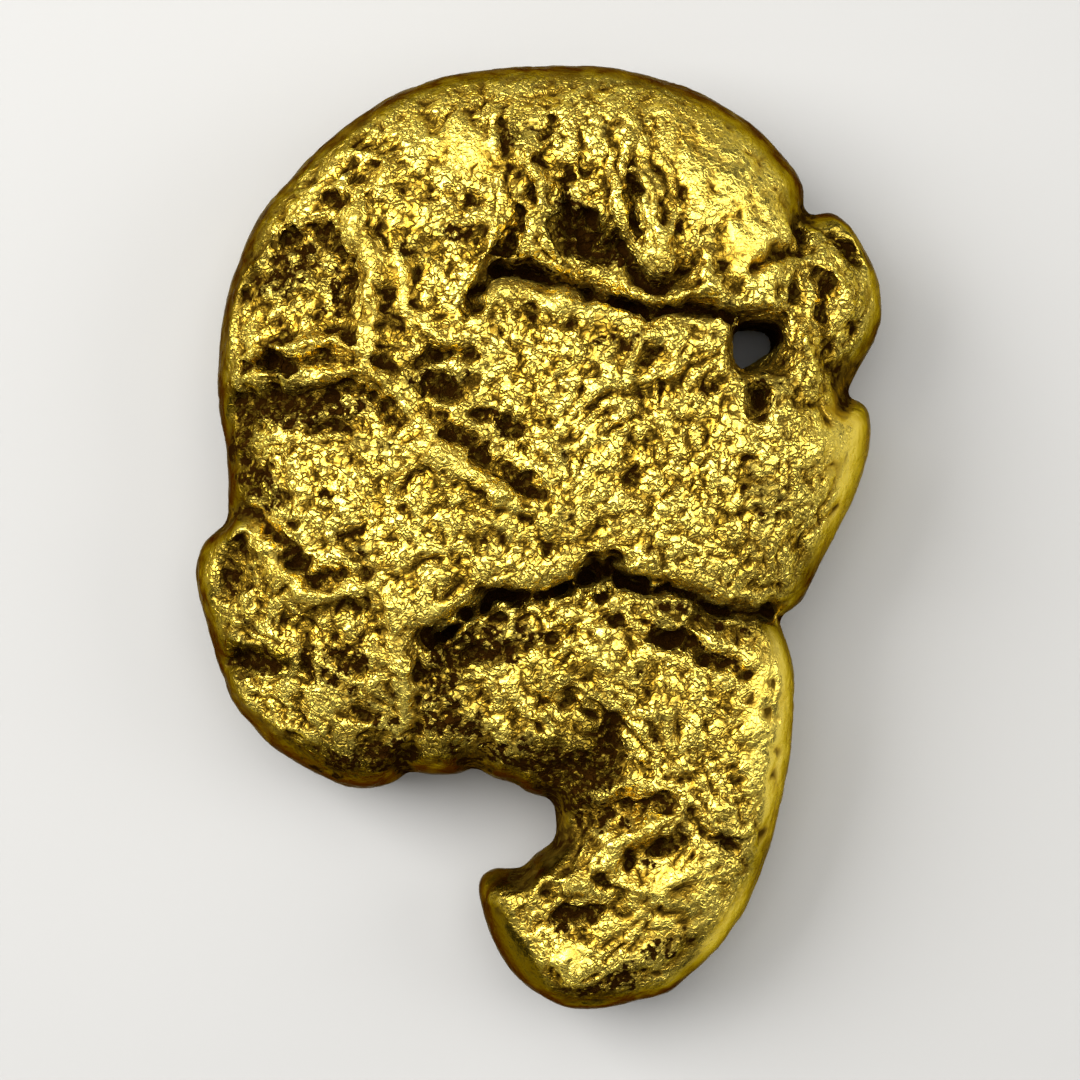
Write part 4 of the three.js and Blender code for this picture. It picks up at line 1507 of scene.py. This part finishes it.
    def _grain(self, graph: NodeGraph, cracks: Socket) -> Socket:
        """The finest relief.

        Args:
            graph: the material's nodes.
            cracks: the nets of cracks.

        Returns:
            The bent normals: grain that is strongest on pitted skin, and sunk cracks.
        """
        strength = graph.ramp(graph.attribute("pitted"), self.grain.band, self.grain.shares)
        grain = graph.product(graph.noise(self.grain.length, self.grain.detail), strength)
        bump = graph.nodes.new("ShaderNodeBump")
        bump.inputs["Strength"].default_value = 1.0
        bump.inputs["Distance"].default_value = self.grain_height / METRE
        height = graph.math("SUBTRACT", grain, graph.product(cracks, self.crack_depth))
        graph.links.new(height, bump.inputs["Height"])
        return bump.outputs["Normal"]


# ------------------------------------------------------------------ studio


@dataclass(frozen=True)
class Softbox:
    """A square soft light, in millimetres, aimed at the nugget."""

    name: str
    place: tuple[float, float, float]
    side: float
    power: float

    def build(self, aim: Vector) -> None:
        """Hangs the light.

        Args:
            aim: the point that it shines at, in metres.
        """
        light = bpy.data.lights.new(self.name, "AREA")
        light.shape = "SQUARE"
        light.size = self.side / METRE
        light.energy = self.power
        lamp = bpy.data.objects.new(self.name, light)
        lamp.location = Vector(self.place) / METRE
        lamp.rotation_euler = (aim - lamp.location).to_track_quat("-Z", "Y").to_euler()
        bpy.context.scene.collection.objects.link(lamp)


@dataclass(frozen=True)
class Studio:
    """The pale floor, the soft lights and the camera that looks straight down."""

    view_width: float = 34.286
    sharp_level: float = 0.4
    lens: float = 100.0
    sensor: float = 36.0
    floor_side: float = 900.0
    near_clip: float = 1.0
    floor_colour: Colour = (0.33, 0.325, 0.314)
    floor_roughness: float = 0.9
    zenith_light: float = 0.85
    horizon_light: float = 0.06
    horizon_rise: float = 0.4
    lights: tuple[Softbox, ...] = (
        Softbox("overhead", (0.0, 60.0, 190.0), 160.0, 0.34),
        Softbox("right", (170.0, 20.0, 130.0), 120.0, 0.2),
        Softbox("left", (-150.0, 60.0, 140.0), 150.0, 0.84),
    )

    def build(self, low: Vector, high: Vector) -> None:
        """Sets up everything around the nugget.

        Args:
            low: lowest corner of the solid's box, in metres.
            high: highest corner of the solid's box, in metres.
        """
        middle = (low + high) / 2
        self._floor(low.z)
        for light in self.lights:
            light.build(middle)
        self._world()
        self._camera(middle, high.z)

    def _floor(self, height: float) -> None:
        """Lays the floor.

        Args:
            height: its level, in metres.
        """
        half = self.floor_side / METRE / 2
        mesh = bpy.data.meshes.new("floor")
        corners = [(x * half, y * half, height) for x, y in ((-1, -1), (1, -1), (1, 1), (-1, 1))]
        mesh.from_pydata(corners, [], [(0, 1, 2, 3)])
        floor = bpy.data.objects.new("floor", mesh)
        bpy.context.scene.collection.objects.link(floor)
        material = bpy.data.materials.new("floor")
        material.use_nodes = True
        shader = material.node_tree.nodes["Principled BSDF"]
        shader.inputs["Base Color"].default_value = (*self.floor_colour, 1.0)
        shader.inputs["Roughness"].default_value = self.floor_roughness
        mesh.materials.append(material)
        floor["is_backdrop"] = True

    def _world(self) -> None:
        """Lights the room softly from above, dimmer towards the horizon, with a plain view transform."""
        world = bpy.data.worlds.new("room")
        world.use_nodes = True
        nodes, links = world.node_tree.nodes, world.node_tree.links
        direction = nodes.new("ShaderNodeTexCoord").outputs["Generated"]
        split = nodes.new("ShaderNodeSeparateXYZ")
        links.new(direction, split.inputs["Vector"])
        rise = nodes.new("ShaderNodeMapRange")
        rise.interpolation_type = "SMOOTHSTEP"
        links.new(split.outputs["Z"], rise.inputs["Value"])
        rise.inputs["From Min"].default_value = self.horizon_rise
        rise.inputs["To Min"].default_value = self.horizon_light
        rise.inputs["To Max"].default_value = self.zenith_light
        links.new(rise.outputs["Result"], nodes["Background"].inputs["Strength"])
        nodes["Background"].inputs["Color"].default_value = (1.0, 1.0, 1.0, 1.0)
        bpy.context.scene.world = world
        bpy.context.scene.view_settings.view_transform = "Standard"

    def _camera(self, middle: Vector, top: float) -> None:
        """Puts the camera over the nugget's middle, looking straight down.

        Args:
            middle: the middle of the solid's box, in metres.
            top: height of the solid's top, in metres.
        """
        data = bpy.data.cameras.new("camera")
        data.lens = self.lens
        data.sensor_width = self.sensor
        data.clip_start = self.near_clip / METRE
        camera = bpy.data.objects.new("camera", data)
        distance = self.view_width / METRE * self.lens / self.sensor
        camera.location = (middle.x, middle.y, self.sharp_level * top + distance)
        bpy.context.scene.collection.objects.link(camera)
        bpy.context.scene.camera = camera


def main() -> None:
    """Builds the nugget and its studio."""
    logging.basicConfig(level=logging.INFO, format="%(name)s: %(message)s")
    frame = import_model()
    cad_box = [list(corner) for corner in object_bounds()]
    piece = Nugget().build(frame)
    piece.data.materials.append(NativeGold().build())
    log.info("%s: %d triangles", piece.name, len(piece.data.polygons))
    low, high = (Vector(corner) for corner in cad_box)
    Studio().build(low, high)


if __name__ == "__main__":
    main()
